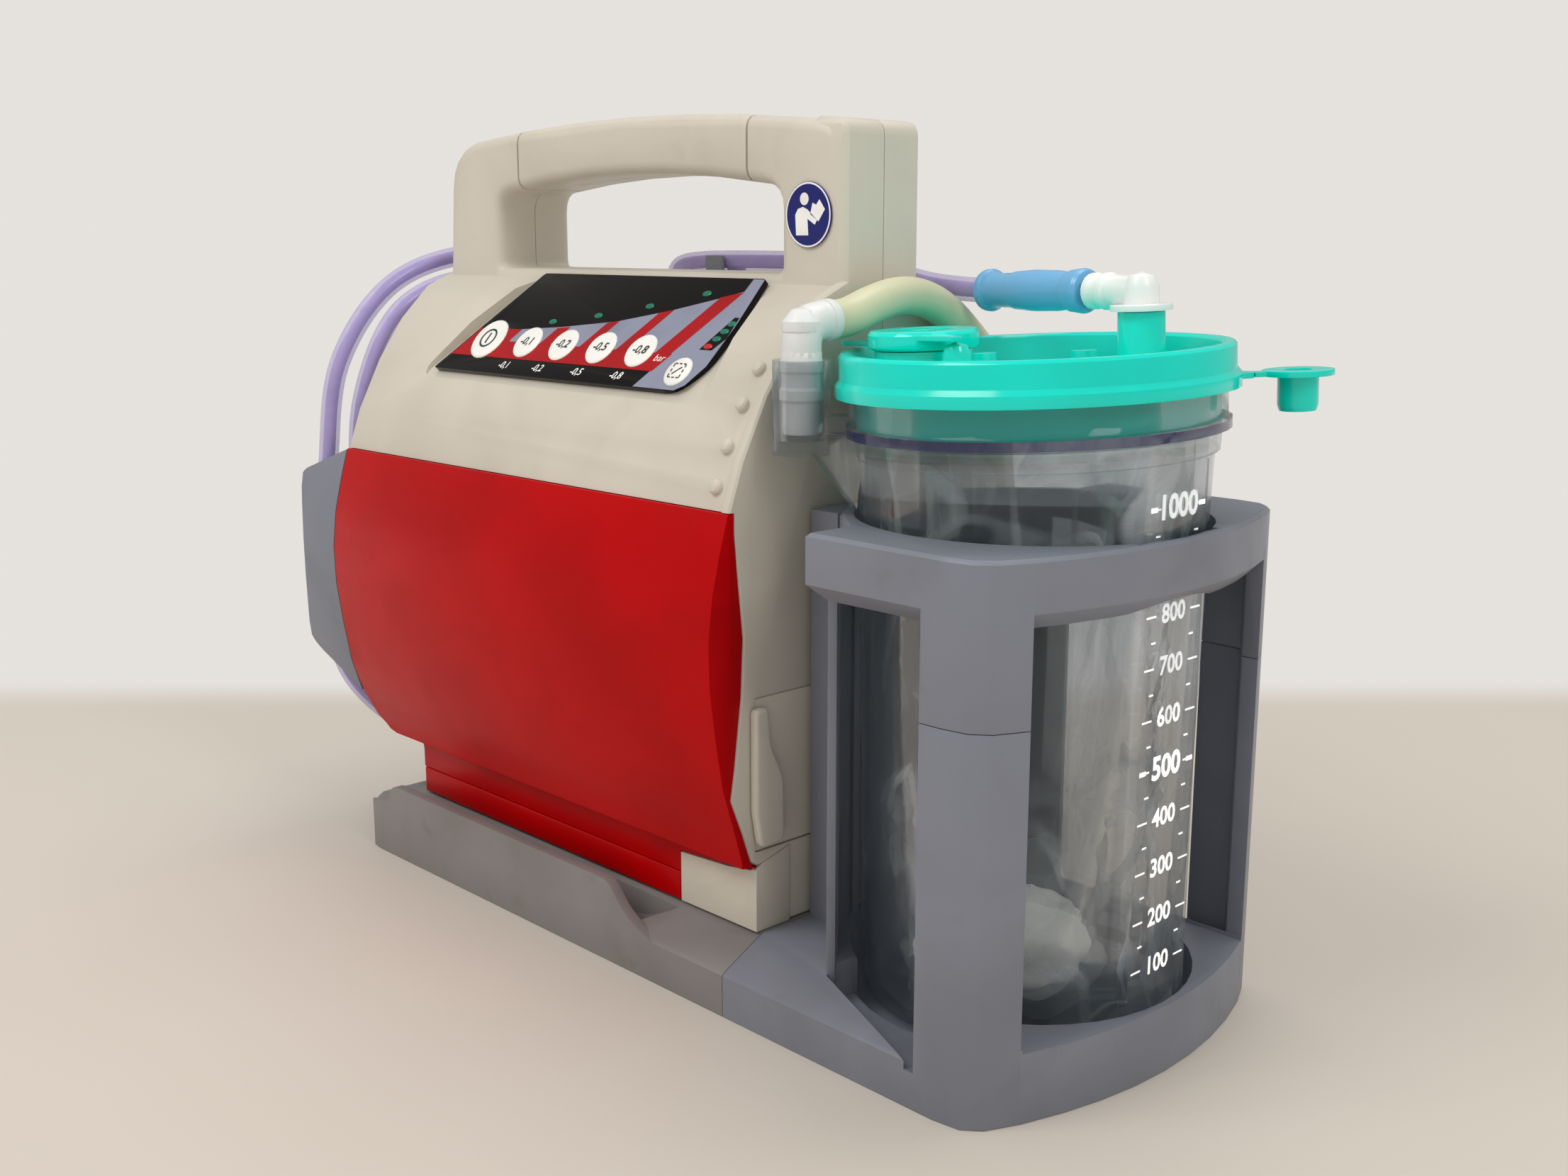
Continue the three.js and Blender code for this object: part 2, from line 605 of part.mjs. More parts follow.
// ---- control panel and keys ----
const KEYS = [
  ["power_key", -118, 16.4, 9.6],
  ["vacuum_key_1", -91.5, 16.2, KEY_R],
  ["vacuum_key_2", -68.3, 16.2, KEY_R],
  ["vacuum_key_3", -45.2, 16.2, KEY_R],
  ["vacuum_key_4", -22, 16.2, KEY_R],
  ["check_key", 4.6, 8.6, 6.2],
];
{
  const face = [[-143, 0.4, 1.5], [8, 0.4, 6], [17.5, 12, 6], [19.4, 30, 6], [19.4, 50.8, 1.5], [-110.6, 50.8, 1.5]];
  let plate = prism(face, "z", -2, 0);
  for (const [name, u, v, r] of KEYS) {
    plate = plate.subtract(put(bar(r + GAP, -5, 5, 24), u, v, 0));
    const cap = turned([[0, -1.5], [r, -1.5], [r, 0.2], [r - 0.6, 0.6], [0, 0.8]], 24);
    piece(name, onSlope(put(cap, u, v, 0)), 0xf2f2ee, 0.35);
  }
  piece("control_panel", onSlope(plate), 0x1e1a1a, 0.3);
  const board = prism([[-135, 4], [10, 4], [10, 44], [-105, 44]], "z", -14, -12.4);
  piece("circuit_board", onSlope(board), 0x1f6b3a, 0.5);
}

// ---- instruction label on the handle post ----
piece("label_disc", aim(bar(11, 0, 0.5, 32), [0, -1, 0], [37.5, -HANDLE_HALF - GAP, 267]), 0x001482, 0.35);

// ---- drive inside the casing ----
{
  const motor = join(
    aim(bar(22, 0, 62, 28), [1, 0, 0], [-150, 4, 120]),
    block(-150, -92, -14, 22, 90, 100),
  );
  piece("pump_motor", cut(motor, aim(bar(3.4, 40, 80, 12), [1, 0, 0], [-150, 4, 120])), 0x4a4c50, 0.4, 0.7);
  const shaft = join(
    aim(bar(3, 0, 44, 12), [1, 0, 0], [-109, 4, 120]),
    aim(put(bar(8, 0, 8, 20), 2.5, 0, 0), [1, 0, 0], [-82, 4, 120]),
  );
  piece("motor_shaft", shaft, STEEL, 0.3, 0.9);
  let head = block(-86, -60, -26, 34, 100, 176);
  head = head.subtract(block(-84, -62, -10, 18, 106, 150));
  head = head.subtract(aim(bar(3.4, -50, 60, 12), [1, 0, 0], [-109, 4, 120]));
  head = head.add(put(bar(20, 170, 184, 28), -73, 4, 0));
  head = head.add(aim(bar(4, 0, 14, 14), [1, 0, 0.2], [-62, 4, 178]));
  piece("pump_head", head, 0x6a6e74, 0.5);
  piece("battery_pack", block(-34, 46, -44, 44, 32, 98), 0x24282c, 0.5);
  piece("exhaust_muffler", join(aim(bar(12, 0, 40, 20), [1, 0, 0], [-66, 56, 99]), block(-60, -34, 46, 52, 92, 106)), 0xe6e6e0, 0.6);
  const inner = [[-46, 4, 181.4], [-20, 6, 190], [8, 18, 200], [26, 44, 203], [40.5, 52.5, 203]];
  piece("inner_hose", along(inner, 4.5, { steps: 14, sides: 8 }), 0xbfc2a2, 0.5);
}

// ---- inlet port for the vacuum hose ----
{
  const [x, y, z] = PORT;
  const stub = cut(
    aim(bar(6.8, -12, x - CASE_RIGHT, 20), [1, 0, 0], [CASE_RIGHT, y, z]),
    aim(bar(5.3, -20, -3, 12), [1, 0, 0], [CASE_RIGHT, y, z]),
  );
  const riser = aim(bar(5.2, -2, 17, 16), PORT_WAY, [x, y, z]);
  const collar = aim(bar(6.6, 3, 5, 20), PORT_WAY, [x, y, z]);
  const knob = put(turned([[0, -6.6], [4, -5.6], [6.6, -2], [6.6, 2], [4, 5.6], [0, 6.6]], 16), x, y, z);
  piece("inlet_port", join(stub, riser, collar, knob), 0xcfc6c4, 0.5);
}

// ---- charging socket and its rubber flap on the back ----
{
  let socket = block(-11.7, 11.7, 58, 71, 62.3, 81.7);
  socket = socket.subtract(put(aim(bar(5, 0, 10, 16), [0, 1, 0], [0, 0, 0]), 0, 64, 72));
  piece("charge_socket", socket, RUBBER, 0.7);
  piece("socket_flap", join(block(-11, 11, 78.2, 80.2, 60, 84), block(-5, 5, 77.4, 78.4, 81, 84)), RUBBER, 0.8);
}

// ---- clips on the rear shoulder that carry the suction tube ----
for (const [name, x] of [["tube_clip_left", -58], ["tube_clip_right", -6]]) {
  const u = [
    [21.5, 243.9], [34.5, 238.3], [34.5, 252.5, 0.6], [33, 252.5, 0.6], [33, 246.6], [30.4, 245.2],
    [25.6, 245.2], [23, 246.6], [23, 252.5, 0.6], [21.5, 252.5, 0.6],
  ];
  piece(name, prism(u, "x", x - 5, x + 5), HOLDER_GREY, 0.6);
}

// ---- canister ----
const leanAxis = new THREE.Vector3(0.7234, -0.6904, 0);
const leanMatrix = new THREE.Matrix4()
  .makeTranslation(CAN_X, 0, LID_Z - 7.5)
  .multiply(new THREE.Matrix4().makeRotationAxis(leanAxis, LID_LEAN * DEG))
  .multiply(new THREE.Matrix4().makeTranslation(0, 0, 7.5 - LID_Z));
/** Moves a solid drawn round the Z axis onto the leaning axis of the lid. */
const onLid = (s) => s.transform(leanMatrix.elements);
const SOCKET = [68.6, -53];
{
  const R = CAN_R;
  const B = CAN_BOTTOM_R;
  const top = LID_Z - 16.5; // where the wall meets the collar
  let body = turned([
    [0, CAN_FLOOR], [B - 7, CAN_FLOOR], [B - 2, CAN_FLOOR + 2], [B, CAN_FLOOR + 8],
    [R, top - 16], [R + 0.5, top], [0, top],
  ], 40);
  const inB = B - CAN_WALL;
  const inR = R - CAN_WALL;
  const room = turned([
    [0, CAN_FLOOR + 2], [inB - 6, CAN_FLOOR + 2], [inB, CAN_FLOOR + 9],
    [inR, top - 16], [inR + 0.5, LID_Z + 7.5], [0, LID_Z + 7.5],
  ], 40);
  const collar = turned([
    [0, LID_Z - 19.5], [57.5, LID_Z - 19.5], [58, LID_Z - 13.5], [61, LID_Z - 12.5], [61, LID_Z - 9.5],
    [59.8, LID_Z - 8.5], [59.8, LID_Z - 0.7], [0, LID_Z - 0.7],
  ], 40);
  const mouth = turned([[0, LID_Z - 13.5], [57.8, LID_Z - 13.5], [57.8, LID_Z + 7.5], [0, LID_Z + 7.5]], 40);
  // flat graduated strip on the end side
  const face = CAN_X + R - 1.3;
  const strip = prism([[CAN_X + 40, -15.5], [face, -15.5], [face, 15.5], [CAN_X + 40, 15.5]], "z", 12, LID_Z - 18.5);
  body = join(put(body, CAN_X, 0, 0), strip, onLid(collar));
  // side socket for the vacuum elbow, on a clear bracket
  const [sx, sy] = SOCKET;
  const arm = prism([[sx - 2, sy + 3], [sx + 5, sy - 4], [88, -42], [80, -34]], "z", 198, 204);
  const web = prism([[sx - 2, 192], [86, 175], [90, 203], [sx, 203]], "y", -47.4, -45.2);
  body = join(body, arm, web, put(bar(9.4, 191.5, 221.5, 24), sx, sy, 0));
  body = cut(body, put(room, CAN_X, 0, 0), onLid(mouth), put(bar(7.4, 196, 230, 24), sx, sy, 0));
  piece("canister", body, CLEAR, 0.12);

  // liner bag: thin cup hanging from the lid, and the gelling sachet in it
  const low = Math.min(R, B + 2.5); // the bag hangs inside the narrower end
  const bagOut = [
    [0, 11.6], [low - 15.9, 11.6], [low - 8.9, 15], [low - 5.4, 24], [low - 5.1, 60],
    [R - 4.7, 120], [R - 4.3, 170], [R - 5.4, LID_Z - 22.5], [R - 6.4, LID_Z - 15.5],
  ];
  const bagIn = [...bagOut].reverse()
    .map(([r, z], i) => [Math.max(0, r - 0.8), i === bagOut.length - 1 || z < 12 ? z + 0.9 : z]);
  const bag = turned([...bagOut, ...bagIn], 24);
  piece("liner_bag", put(bag, CAN_X, 0, 0), 0xe9eeee, 0.25);
  const sachet = turned([[0, 0], [12, 1], [19, 6], [20, 12], [15, 20], [8, 26], [0, 28]], 20);
  piece("gel_sachet", put(sachet.scale([1, 0.8, 1]), CAN_X + 8, 31.9 - low, 13.2), 0xf4f4f0, 0.7);
}

// ---- lid, caps and plug ----
const GEL = [-25.4, -24];
const PATIENT = [25, 22];
const PLUG_ANGLE = 47;
const FLOOR_Z = LID_Z + 0.5; // from here up, what stands on the lid's floor
{
  let lid = turned([
    [0, LID_Z + 2.5], [54.5, LID_Z + 2.5], [57.4, LID_Z + 4], [57.8, LID_Z + 12.7], [59, LID_Z + 13.7],
    [61.4, LID_Z + 13.7], [62.2, LID_Z + 12.7], [62.4, LID_Z + 5.5], [LID_R, LID_Z + 3.8], [LID_R, LID_Z],
    [60.6, LID_Z], [60.2, LID_Z + 1.2], [57.4, LID_Z + 1.2], [57.4, LID_Z - 10], [55.2, LID_Z - 10],
    [54.8, LID_Z - 0.5], [0, LID_Z - 0.5],
  ], 40);
  const gel = [GEL[0], GEL[1]];
  lid = lid.add(put(bar(15.6, LID_Z, LID_Z + 13.9, 28), gel[0], gel[1], 0));
  lid = lid.subtract(put(bar(12.8, LID_Z - 2, LID_Z + 27.5, 24), gel[0], gel[1], 0));
  const stem = [[0, FLOOR_Z], [9, FLOOR_Z], [7.6, LID_Z + 6.5], [7.4, LID_Z + 22.9], [0, LID_Z + 22.9]];
  lid = lid.add(put(turned(stem, 24), ...PATIENT, 0));
  lid = lid.subtract(put(bar(5.6, LID_Z - 7.5, LID_Z + 27.5, 20), ...PATIENT, 0));
  // dome that locks the gel cap's tab
  const dome = [[0, FLOOR_Z], [4.4, FLOOR_Z], [4.4, LID_Z + 13.5], [3.4, LID_Z + 16.1], [0, LID_Z + 17.3]];
  lid = lid.add(put(turned(dome, 16), -3.2, -34, 0));
  lid = lid.subtract(put(bar(2.2, LID_Z - 7.5, LID_Z + 9.5, 12), -3.2, -34, 0));
  // two small inlets in the floor
  for (const [x, y] of [[-6, 34], [-34, 16]]) {
    lid = lid.add(put(turned([[0, FLOOR_Z], [5, FLOOR_Z], [4.4, LID_Z + 9.5], [0, LID_Z + 9.5]], 16), x, y, 0));
  }
  // eye that keeps the spare plug's tether
  const eye = prism([[60, -6], [69, -3.4, 1], [69, 3.4, 1], [60, 6]], "z", FLOOR_Z, LID_Z + 2.3);
  lid = lid.add(eye.rotate([0, 0, PLUG_ANGLE]));
  piece("lid", onLid(lid), TURQUOISE, 0.3);

  // gel cap with its strap and finger tab
  let cap = turned([[0, 14.4], [16.6, 14.3], [17.7, 15.1], [17.7, 18.9], [16.8, 20.1], [0, 20.1]], 32);
  cap = cap.add(turned([[0, 8.5], [11, 8.5], [12.3, 13.5], [12.3, 15.5], [0, 15.5]], 24));
  cap = cap.subtract(bar(9.8, -2.5, 13.9, 20));
  cap = cap.subtract(turned([[4, 19.3], [9, 19.3], [9, 27.5], [4, 27.5]], 20));
  const tab = prism([[12, -6], [26, -11, 2], [26, -16, 2], [8, -14]], "z", 17.6, 19.1);
  const strap = prism([[-12, 3], [-32, 0.5, 3], [-32, -6, 3], [-12, -5]], "z", 14.9, 16.5);
  piece("gel_cap", onLid(put(join(cap, tab, strap), gel[0], gel[1], LID_Z)), TURQUOISE, 0.3);

  // spare plug that hangs at the edge on its ring
  const spare = join(
    turned([[0, -11], [5.8, -11], [6.4, -9], [6.4, 0.2], [11.2, 0.2], [11.2, 2], [0, 2]], 24)
      .subtract(turned([[0, -8], [4.4, -8], [4.4, 3], [0, 3]], 16)),
    prism([[-10, -3], [-14.4, -3], [-14.4, 3], [-10, 3]], "z", 0.3, 1.8),
  );
  piece("port_plug", onLid(put(spare, 83.8, 0, LID_Z + 0.4).rotate([0, 0, PLUG_ANGLE])), TURQUOISE, 0.3);
}

// ---- elbows, hoses and connectors ----
{
  const [sx, sy] = SOCKET;
  const bend = [[sx, sy, 222], [sx, sy, 227.5], [sx, sy + 1.6, 231.4], [sx, sy + 5.5, 233], [sx, sy + 10, 233.4]];
  const grey = join(
    put(turned([[0, 198], [5.8, 198], [6.2, 200], [6.2, 208], [7.1, 209], [7.1, 212], [6.4, 213], [6.4, 217.2], [7.1, 218], [7.1, 221], [6.6, 222], [6.6, 224], [0, 224]], 18), sx, sy, 0),
    along(bend, 6.5, { sides: 16, steps: 6 }),
    put(turned([[0, -6.4], [3, -5.8], [6.4, -1], [6.4, 2], [3.4, 5.6], [0, 6.5]], 16), sx, sy, 231.6),
    aim(bar(6.9, 0, 3, 20), [0, 1, 0.04], [sx, sy + 9.5, 233.4]),
    aim(bar(3.7, 0, 14, 16), [0, 1, 0.04], [sx, sy + 10, 233.4]),
  );
  piece("vacuum_elbow", grey, 0xcdcdcf, 0.45);
}

const portWay = new THREE.Vector3(...PORT_WAY).normalize();
const onPort = (d) => new THREE.Vector3(...PORT).addScaledVector(portWay, d).toArray();
const hoseLine = [
  [68.6, -40, 233.5], [68.6, -33, 234.2], [67.6, -20, 237.8], [65.6, -6, 240.2], [63.4, 8, 239.6],
  [61.6, 22, 235.2], [60.9, 34, 227.6], onPort(16), onPort(6),
];
{
  let hose = along(hoseLine, HOSE_R, { sides: 10, steps: 24 });
  hose = hose.subtract(aim(bar(4, -2, 15.4, 14), [0, 1, 0.04], [68.6, -43.2, 233.4]));
  hose = cut(hose, aim(bar(5.5, -4, 18, 14), PORT_WAY, PORT), aim(bar(14, -12, 17.3, 12), PORT_WAY, PORT));
  piece("vacuum_hose", hose, 0xbec396, 0.35);
}

let tubeStart;
{
  const top = LID_Z + 23.3;
  const [ux, uy] = PATIENT;
  const white = join(
    put(turned([
      [0, LID_Z + 7.5], [5.2, LID_Z + 7.5], [5.2, top], [9.8, top], [9.8, top + 1.8], [5.6, top + 2],
      [5.6, top + 7], [4, top + 10.6], [0, top + 12],
    ], 24), ux, uy, 0),
  );
  const p = new THREE.Vector3(ux, uy, top + 5.8).applyMatrix4(leanMatrix);
  const arm = [-1, 0.17, -0.02];
  const at = [p.x, p.y, p.z];
  const elbow = join(
    onLid(white),
    aim(turned([[0, 0], [5.3, 0], [5.3, 12], [6, 13], [6, 15], [5.2, 16], [5.2, 18], [5.9, 19], [5.9, 21], [5, 22], [3.6, 23], [3.6, 36], [0, 36]], 20), arm, at),
  );
  piece("patient_elbow", elbow, 0xebf0ee, 0.4);
  const blue = cut(
    aim(turned([[0, 23.4], [6.9, 23.4], [7.4, 26], [7.4, 38], [6, 45], [6, 52], [6.6, 58], [6.6, 70], [6, 73], [0, 73]], 18), arm, at),
    aim(bar(3.9, 20, 36.4, 16), arm, at),
    aim(bar(TUBE_R + 0.35, 58, 80, 16), arm, at),
  );
  const way = new THREE.Vector3(...arm).normalize();
  tubeStart = [59, 68, 77].map((d) => p.clone().addScaledVector(way, d).toArray());
  piece("tube_connector", blue, 0x69a5cd, 0.5);
}

const tubeLine = [
  ...tubeStart,
  [44, 35.6, 243], [18, 29.6, 249], [-6, 28, 250], [-38, 28, 250.2], [-58, 28, 250.1], [-72, 29, 249.8],
  [-98, 38, 247], [-116, 52, 238], [-128, 68, 221], [-136, 81, 192], [-140, 86, 158], [-142, 87.4, 120],
  [-145, 84, 84], [-150, 79, 62], [-160, 72, 46], [-168, 54, 37], [-177, 20, 33.6], [-186, -16, 35], [-198, -44, 44],
  [-211, -62, 66], [-216, -68.2, 96], [-216.2, -68.4, 126], [-215.8, -65.6, 164], [-215, -58, 206],
  [-212, -34, 238], [-207, -4, 250.6], [-198, 26, 250], [-186, 52, 236], [-175, 74, 208],
  [-168, 90, 172], [-166, 96, 130], [-168, 93, 88], [-176, 78, 54], [-190, 50, 37], [-203, 10, 34],
  [-208, -24, 42], [-206, -46, 62], [-206.6, -55, 96], [-206.8, -56, 140], [-206, -53, 190],
  [-203, -34, 228], [-199, -4, 240.6], [-196.4, 30, 231], [-196, 56, 204], [-194, 76, 164],
  [-196, 84, 118], [-205, 76, 78], [-216, 50, 55], [-220, 18, 52], [-216, -12, 58], [-209, -32, 78], [-206, -38, 104],
];
{
  const tube = along(tubeLine, TUBE_R, { sides: 8, steps: 80 });
  piece("suction_tube", tube, 0xaaa0c8, 0.3);
  const tip = cut(
    put(turned([[0, 105.4], [6.2, 105.4], [6.6, 111], [5.4, 121], [4.8, 133], [5.4, 137], [5.4, 143], [0, 143]], 16), -206, -39.5, 0),
    put(bar(2.6, 109, 160, 12), -206, -39.5, 0),
  );
  piece("fingertip_connector", tip, CLEAR, 0.15);
}

export default root;
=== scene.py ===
"""Looks of a portable suction pump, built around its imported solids. Metres, +Z up, front toward -Y."""

import logging
import math
from dataclasses import dataclass
from enum import Enum
from typing import Callable, Iterable, Sequence

import bmesh
import bpy
from mathutils import Matrix, Vector, noise


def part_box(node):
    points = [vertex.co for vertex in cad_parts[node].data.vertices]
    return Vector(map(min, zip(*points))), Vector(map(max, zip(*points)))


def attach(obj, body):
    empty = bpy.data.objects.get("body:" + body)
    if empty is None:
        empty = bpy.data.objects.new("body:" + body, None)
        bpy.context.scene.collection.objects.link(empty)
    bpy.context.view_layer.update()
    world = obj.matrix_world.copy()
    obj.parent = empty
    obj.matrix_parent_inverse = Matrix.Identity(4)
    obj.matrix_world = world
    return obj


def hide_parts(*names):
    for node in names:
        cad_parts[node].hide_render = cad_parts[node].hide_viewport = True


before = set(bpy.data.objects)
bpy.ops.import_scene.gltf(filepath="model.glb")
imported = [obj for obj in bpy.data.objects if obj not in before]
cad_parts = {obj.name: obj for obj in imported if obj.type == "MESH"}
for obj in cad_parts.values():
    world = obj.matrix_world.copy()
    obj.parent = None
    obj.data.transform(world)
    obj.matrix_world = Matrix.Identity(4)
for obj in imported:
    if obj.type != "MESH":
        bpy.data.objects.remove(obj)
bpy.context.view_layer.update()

MM = 0.001
LOG = logging.getLogger("suction_pump")
Colour = tuple[float, float, float]
Points = Sequence[Sequence[float]]


# ---------------------------------------------------------------- shader tools


def ink(red: float, green: float, blue: float) -> tuple[float, float, float, float]:
    """A colour given as 0-255 display values, as the linear colour that a shader takes."""

    def one(value: float) -> float:
        """One channel made linear."""
        v = value / 255
        return v / 12.92 if v <= 0.04045 else ((v + 0.055) / 1.055) ** 2.4

    return one(red), one(green), one(blue), 1.0


class Val:
    """A number socket; arithmetic on it adds Math nodes."""

    def __init__(self, surface: "Surface", socket: bpy.types.NodeSocket) -> None:
        """Wraps a socket of the surface's node tree."""
        self.surface, self.socket = surface, socket

    def _math(self, operation: str, first: object, second: object) -> "Val":
        """A Math node on two values.

        Args:
            operation: The node's operation.
            first: A Val or a number.
            second: A Val or a number.

        Returns:
            The node's result.
        """
        made = self.surface.node("ShaderNodeMath", {"operation": operation}, {0: first, 1: second})
        return Val(self.surface, made.outputs[0])

    def __add__(self, other: object) -> "Val":
        """self + other"""
        return self._math("ADD", self, other)

    __radd__ = __add__

    def __sub__(self, other: object) -> "Val":
        """self - other"""
        return self._math("SUBTRACT", self, other)

    def __rsub__(self, other: object) -> "Val":
        """other - self"""
        return self._math("SUBTRACT", other, self)

    def __mul__(self, other: object) -> "Val":
        """self * other"""
        return self._math("MULTIPLY", self, other)

    __rmul__ = __mul__

    def smooth(self, low: float, high: float) -> "Val":
        """0 below low, 1 above high, with a soft step between."""
        settings = {"interpolation_type": "SMOOTHSTEP", "clamp": True}
        made = self.surface.node("ShaderNodeMapRange", settings, {0: self, 1: low, 2: high, 3: 0.0, 4: 1.0})
        return Val(self.surface, made.outputs[0])


class Surface:
    """One material and the nodes that make it."""

    def __init__(self, name: str) -> None:
        """Starts a material with an empty tree and one Principled shader."""
        self.material = bpy.data.materials.new(name)
        self.material.use_nodes = True
        self.tree = self.material.node_tree
        self.tree.nodes.clear()
        self.shader = self.tree.nodes.new("ShaderNodeBsdfPrincipled")
        out = self.tree.nodes.new("ShaderNodeOutputMaterial")
        self.tree.links.new(self.shader.outputs[0], out.inputs[0])

    def node(self, kind: str, settings: dict[str, object], values: dict[object, object]) -> bpy.types.Node:
        """Adds a node.

        Args:
            kind: The node's type.
            settings: Its properties, set before its sockets.
            values: Socket name or number to a value, a socket or a Val.

        Returns:
            The node.
        """
        made = self.tree.nodes.new(kind)
        for key, value in settings.items():
            setattr(made, key, value)
        for key, value in values.items():
            value = value.socket if isinstance(value, Val) else value
            if isinstance(value, bpy.types.NodeSocket):
                self.tree.links.new(value, made.inputs[key])
            else:
                made.inputs[key].default_value = value
        return made

    def place(self, centre: Sequence[float] = (0, 0, 0), turn: Sequence[float] = (0, 0, 0),
              stretch: Sequence[float] = (1, 1, 1)) -> bpy.types.NodeSocket:
        """Object coordinates moved to a centre, turned and stretched.

        Args:
            centre: The point that becomes zero.
            turn: Euler angles in radians.
            stretch: Scale along each axis.

        Returns:
            The coordinate socket.
        """
        where = self.node("ShaderNodeTexCoord", {}, {})
        moved = self.node("ShaderNodeMapping", {"vector_type": "TEXTURE"},
                          {0: where.outputs["Object"], 1: tuple(centre), 2: tuple(turn)})
        return self.node("ShaderNodeMapping", {}, {0: moved.outputs[0], 3: tuple(stretch)}).outputs[0]

    def noise(self, where: bpy.types.NodeSocket, scale: float, detail: float = 2.0, warp: float = 0.0) -> Val:
        """Cloudy noise from 0 to 1.

        Args:
            where: The coordinates that it reads.
            scale: Lumps to the metre.
            detail: How many finer layers it has.
            warp: How far the lumps are pulled about.

        Returns:
            The noise.
        """
        values = {"Vector": where, "Scale": scale, "Detail": detail, "Distortion": warp}
        return Val(self, self.node("ShaderNodeTexNoise", {}, values).outputs[0])

    def blend(self, share: object, first: object, second: object) -> bpy.types.NodeSocket:
        """A colour between first (share 0) and second (share 1)."""
        settings = {"data_type": "RGBA", "clamp_factor": True}
        return self.node("ShaderNodeMix", settings, {0: share, 6: first, 7: second}).outputs[2]

    def relief(self, height: Val, depth: float) -> None:
        """Bumps the surface by a height from 0 to 1, depth metres deep."""
        made = self.node("ShaderNodeBump", {}, {"Strength": 1.0, "Distance": depth, "Height": height})
        self.tree.links.new(made.outputs[0], self.shader.inputs["Normal"])

    def set(self, **values: object) -> None:
        """Sets sockets of the shader; an underscore in a name is a space."""
        for key, value in values.items():
            socket = self.shader.inputs[key.replace("_", " ")]
            value = value.socket if isinstance(value, Val) else value
            if isinstance(value, bpy.types.NodeSocket):
                self.tree.links.new(value, socket)
            else:
                socket.default_value = value


# ---------------------------------------------------------------- finishes


@dataclass(frozen=True)
class Moulded:
    """Injection-moulded plastic or rubber with a spark-eroded grain."""

    name: str
    colour: Colour
    rough: float = 0.5
    grain: float = 0.55 * MM  # size of one grain
    depth: float = 0.02 * MM
    mottle: float = 0.10  # how far the colour drifts
    specular: float = 0.45
    glow: float = 0.0  # light scattered inside
    dirt: float = 0.25

    def make(self) -> bpy.types.Material:
        """Builds the material."""
        s = Surface(self.name)
        where = s.place()
        fine = s.noise(where, 1 / self.grain, 2.0)
        broad = s.noise(where, 16, 3.0, 0.6)
        smear = s.noise(s.place(turn=(0.2, 0.5, 0.3), stretch=(1, 5, 2)), 38, 4.0, 0.4)
        r, g, b = self.colour
        base = ink(r, g, b)
        worn = ink(r * (1 - self.mottle), g * (1 - self.mottle), b * (1 - 1.1 * self.mottle))
        soiled = ink(r * 0.80, g * 0.77, b * 0.72)
        colour = s.blend(broad.smooth(0.35, 0.75), base, worn)
        colour = s.blend(smear.smooth(0.60, 0.82) * self.dirt, colour, soiled)
        s.set(Base_Color=colour, Specular_IOR_Level=self.specular)
        s.set(Roughness=(fine - 0.5) * 0.12 + (broad - 0.5) * 0.14 + (smear - 0.5) * 0.10 + self.rough)
        if self.glow:
            s.set(Subsurface_Weight=self.glow, Subsurface_Scale=3 * MM, Subsurface_Radius=(1.0, 0.9, 0.7))
        s.relief(fine * 0.75 + smear * 0.25, self.depth)
        return s.material


@dataclass(frozen=True)
class Clear:
    """See-through plastic or film."""

    name: str
    colour: Colour
    cover: float = 0.3  # how much of the light it stops
    rough: float = 0.05
    wave: float = 0.02 * MM  # depth of the ripples in it
    lumps: float = 30.0  # ripples to the metre
    # strength of the painted highlights drawn along the fold lines, through the alpha
    fold_highlight: float = 0.10
    edge: float = 0.3  # how much denser it looks at a glancing angle
    refract: float = 0.0
    ior: float = 1.45

    def make(self) -> bpy.types.Material:
        """Builds the material."""
        s = Surface(self.name)
        where = s.place()
        ripple = s.noise(where, self.lumps, 3.0, 0.8)
        scratch = s.noise(s.place(turn=(0.6, 0.2, 0.9), stretch=(1, 1, 9)), 210, 3.0)
        r, g, b = self.colour
        s.set(Base_Color=s.blend(ripple.smooth(0.3, 0.8), ink(r, g, b), ink(r * 0.9, g * 0.93, b * 0.95)))
        s.set(Roughness=scratch.smooth(0.45, 0.85) * 0.16 + self.rough, IOR=self.ior)
        s.set(Transmission_Weight=self.refract, Specular_IOR_Level=0.6)
        grazing = Val(s, s.node("ShaderNodeLayerWeight", {}, {0: 0.22}).outputs["Facing"])
        crease = self.crease(s)
        # Painted highlights: the fold lines raise the alpha, so the pale film shows bright streaks along them.
        s.set(Alpha=crease * self.fold_highlight + grazing * grazing * self.edge + self.cover)
        s.relief(ripple * 0.6 + crease * 0.3 + scratch * 0.1, self.wave)
        return s.material

    def crease(self, s: Surface) -> Val:
        """Thin lines where a film has been folded; they bump the film, and through its alpha they paint bright
        highlights along the folds.

        Args:
            s: The surface that they are drawn on.

        Returns:
            Their strength.
        """
        lines = None
        for turn, stretch in (((0.2, 0.1, 0.4), (1.0, 1.0, 0.35)), ((0.5, -0.4, 1.1), (1.0, 1.0, 0.55))):
            cloud = s.noise(s.place(turn=turn, stretch=stretch), self.lumps, 1.0, 0.7)
            ridge = 1 - ((cloud - 0.5) * (cloud - 0.5)).smooth(0.0, 0.0016)
            lines = ridge if lines is None else lines + ridge
        return lines * s.noise(s.place(), self.lumps * 0.7, 2.0).smooth(0.35, 0.7)


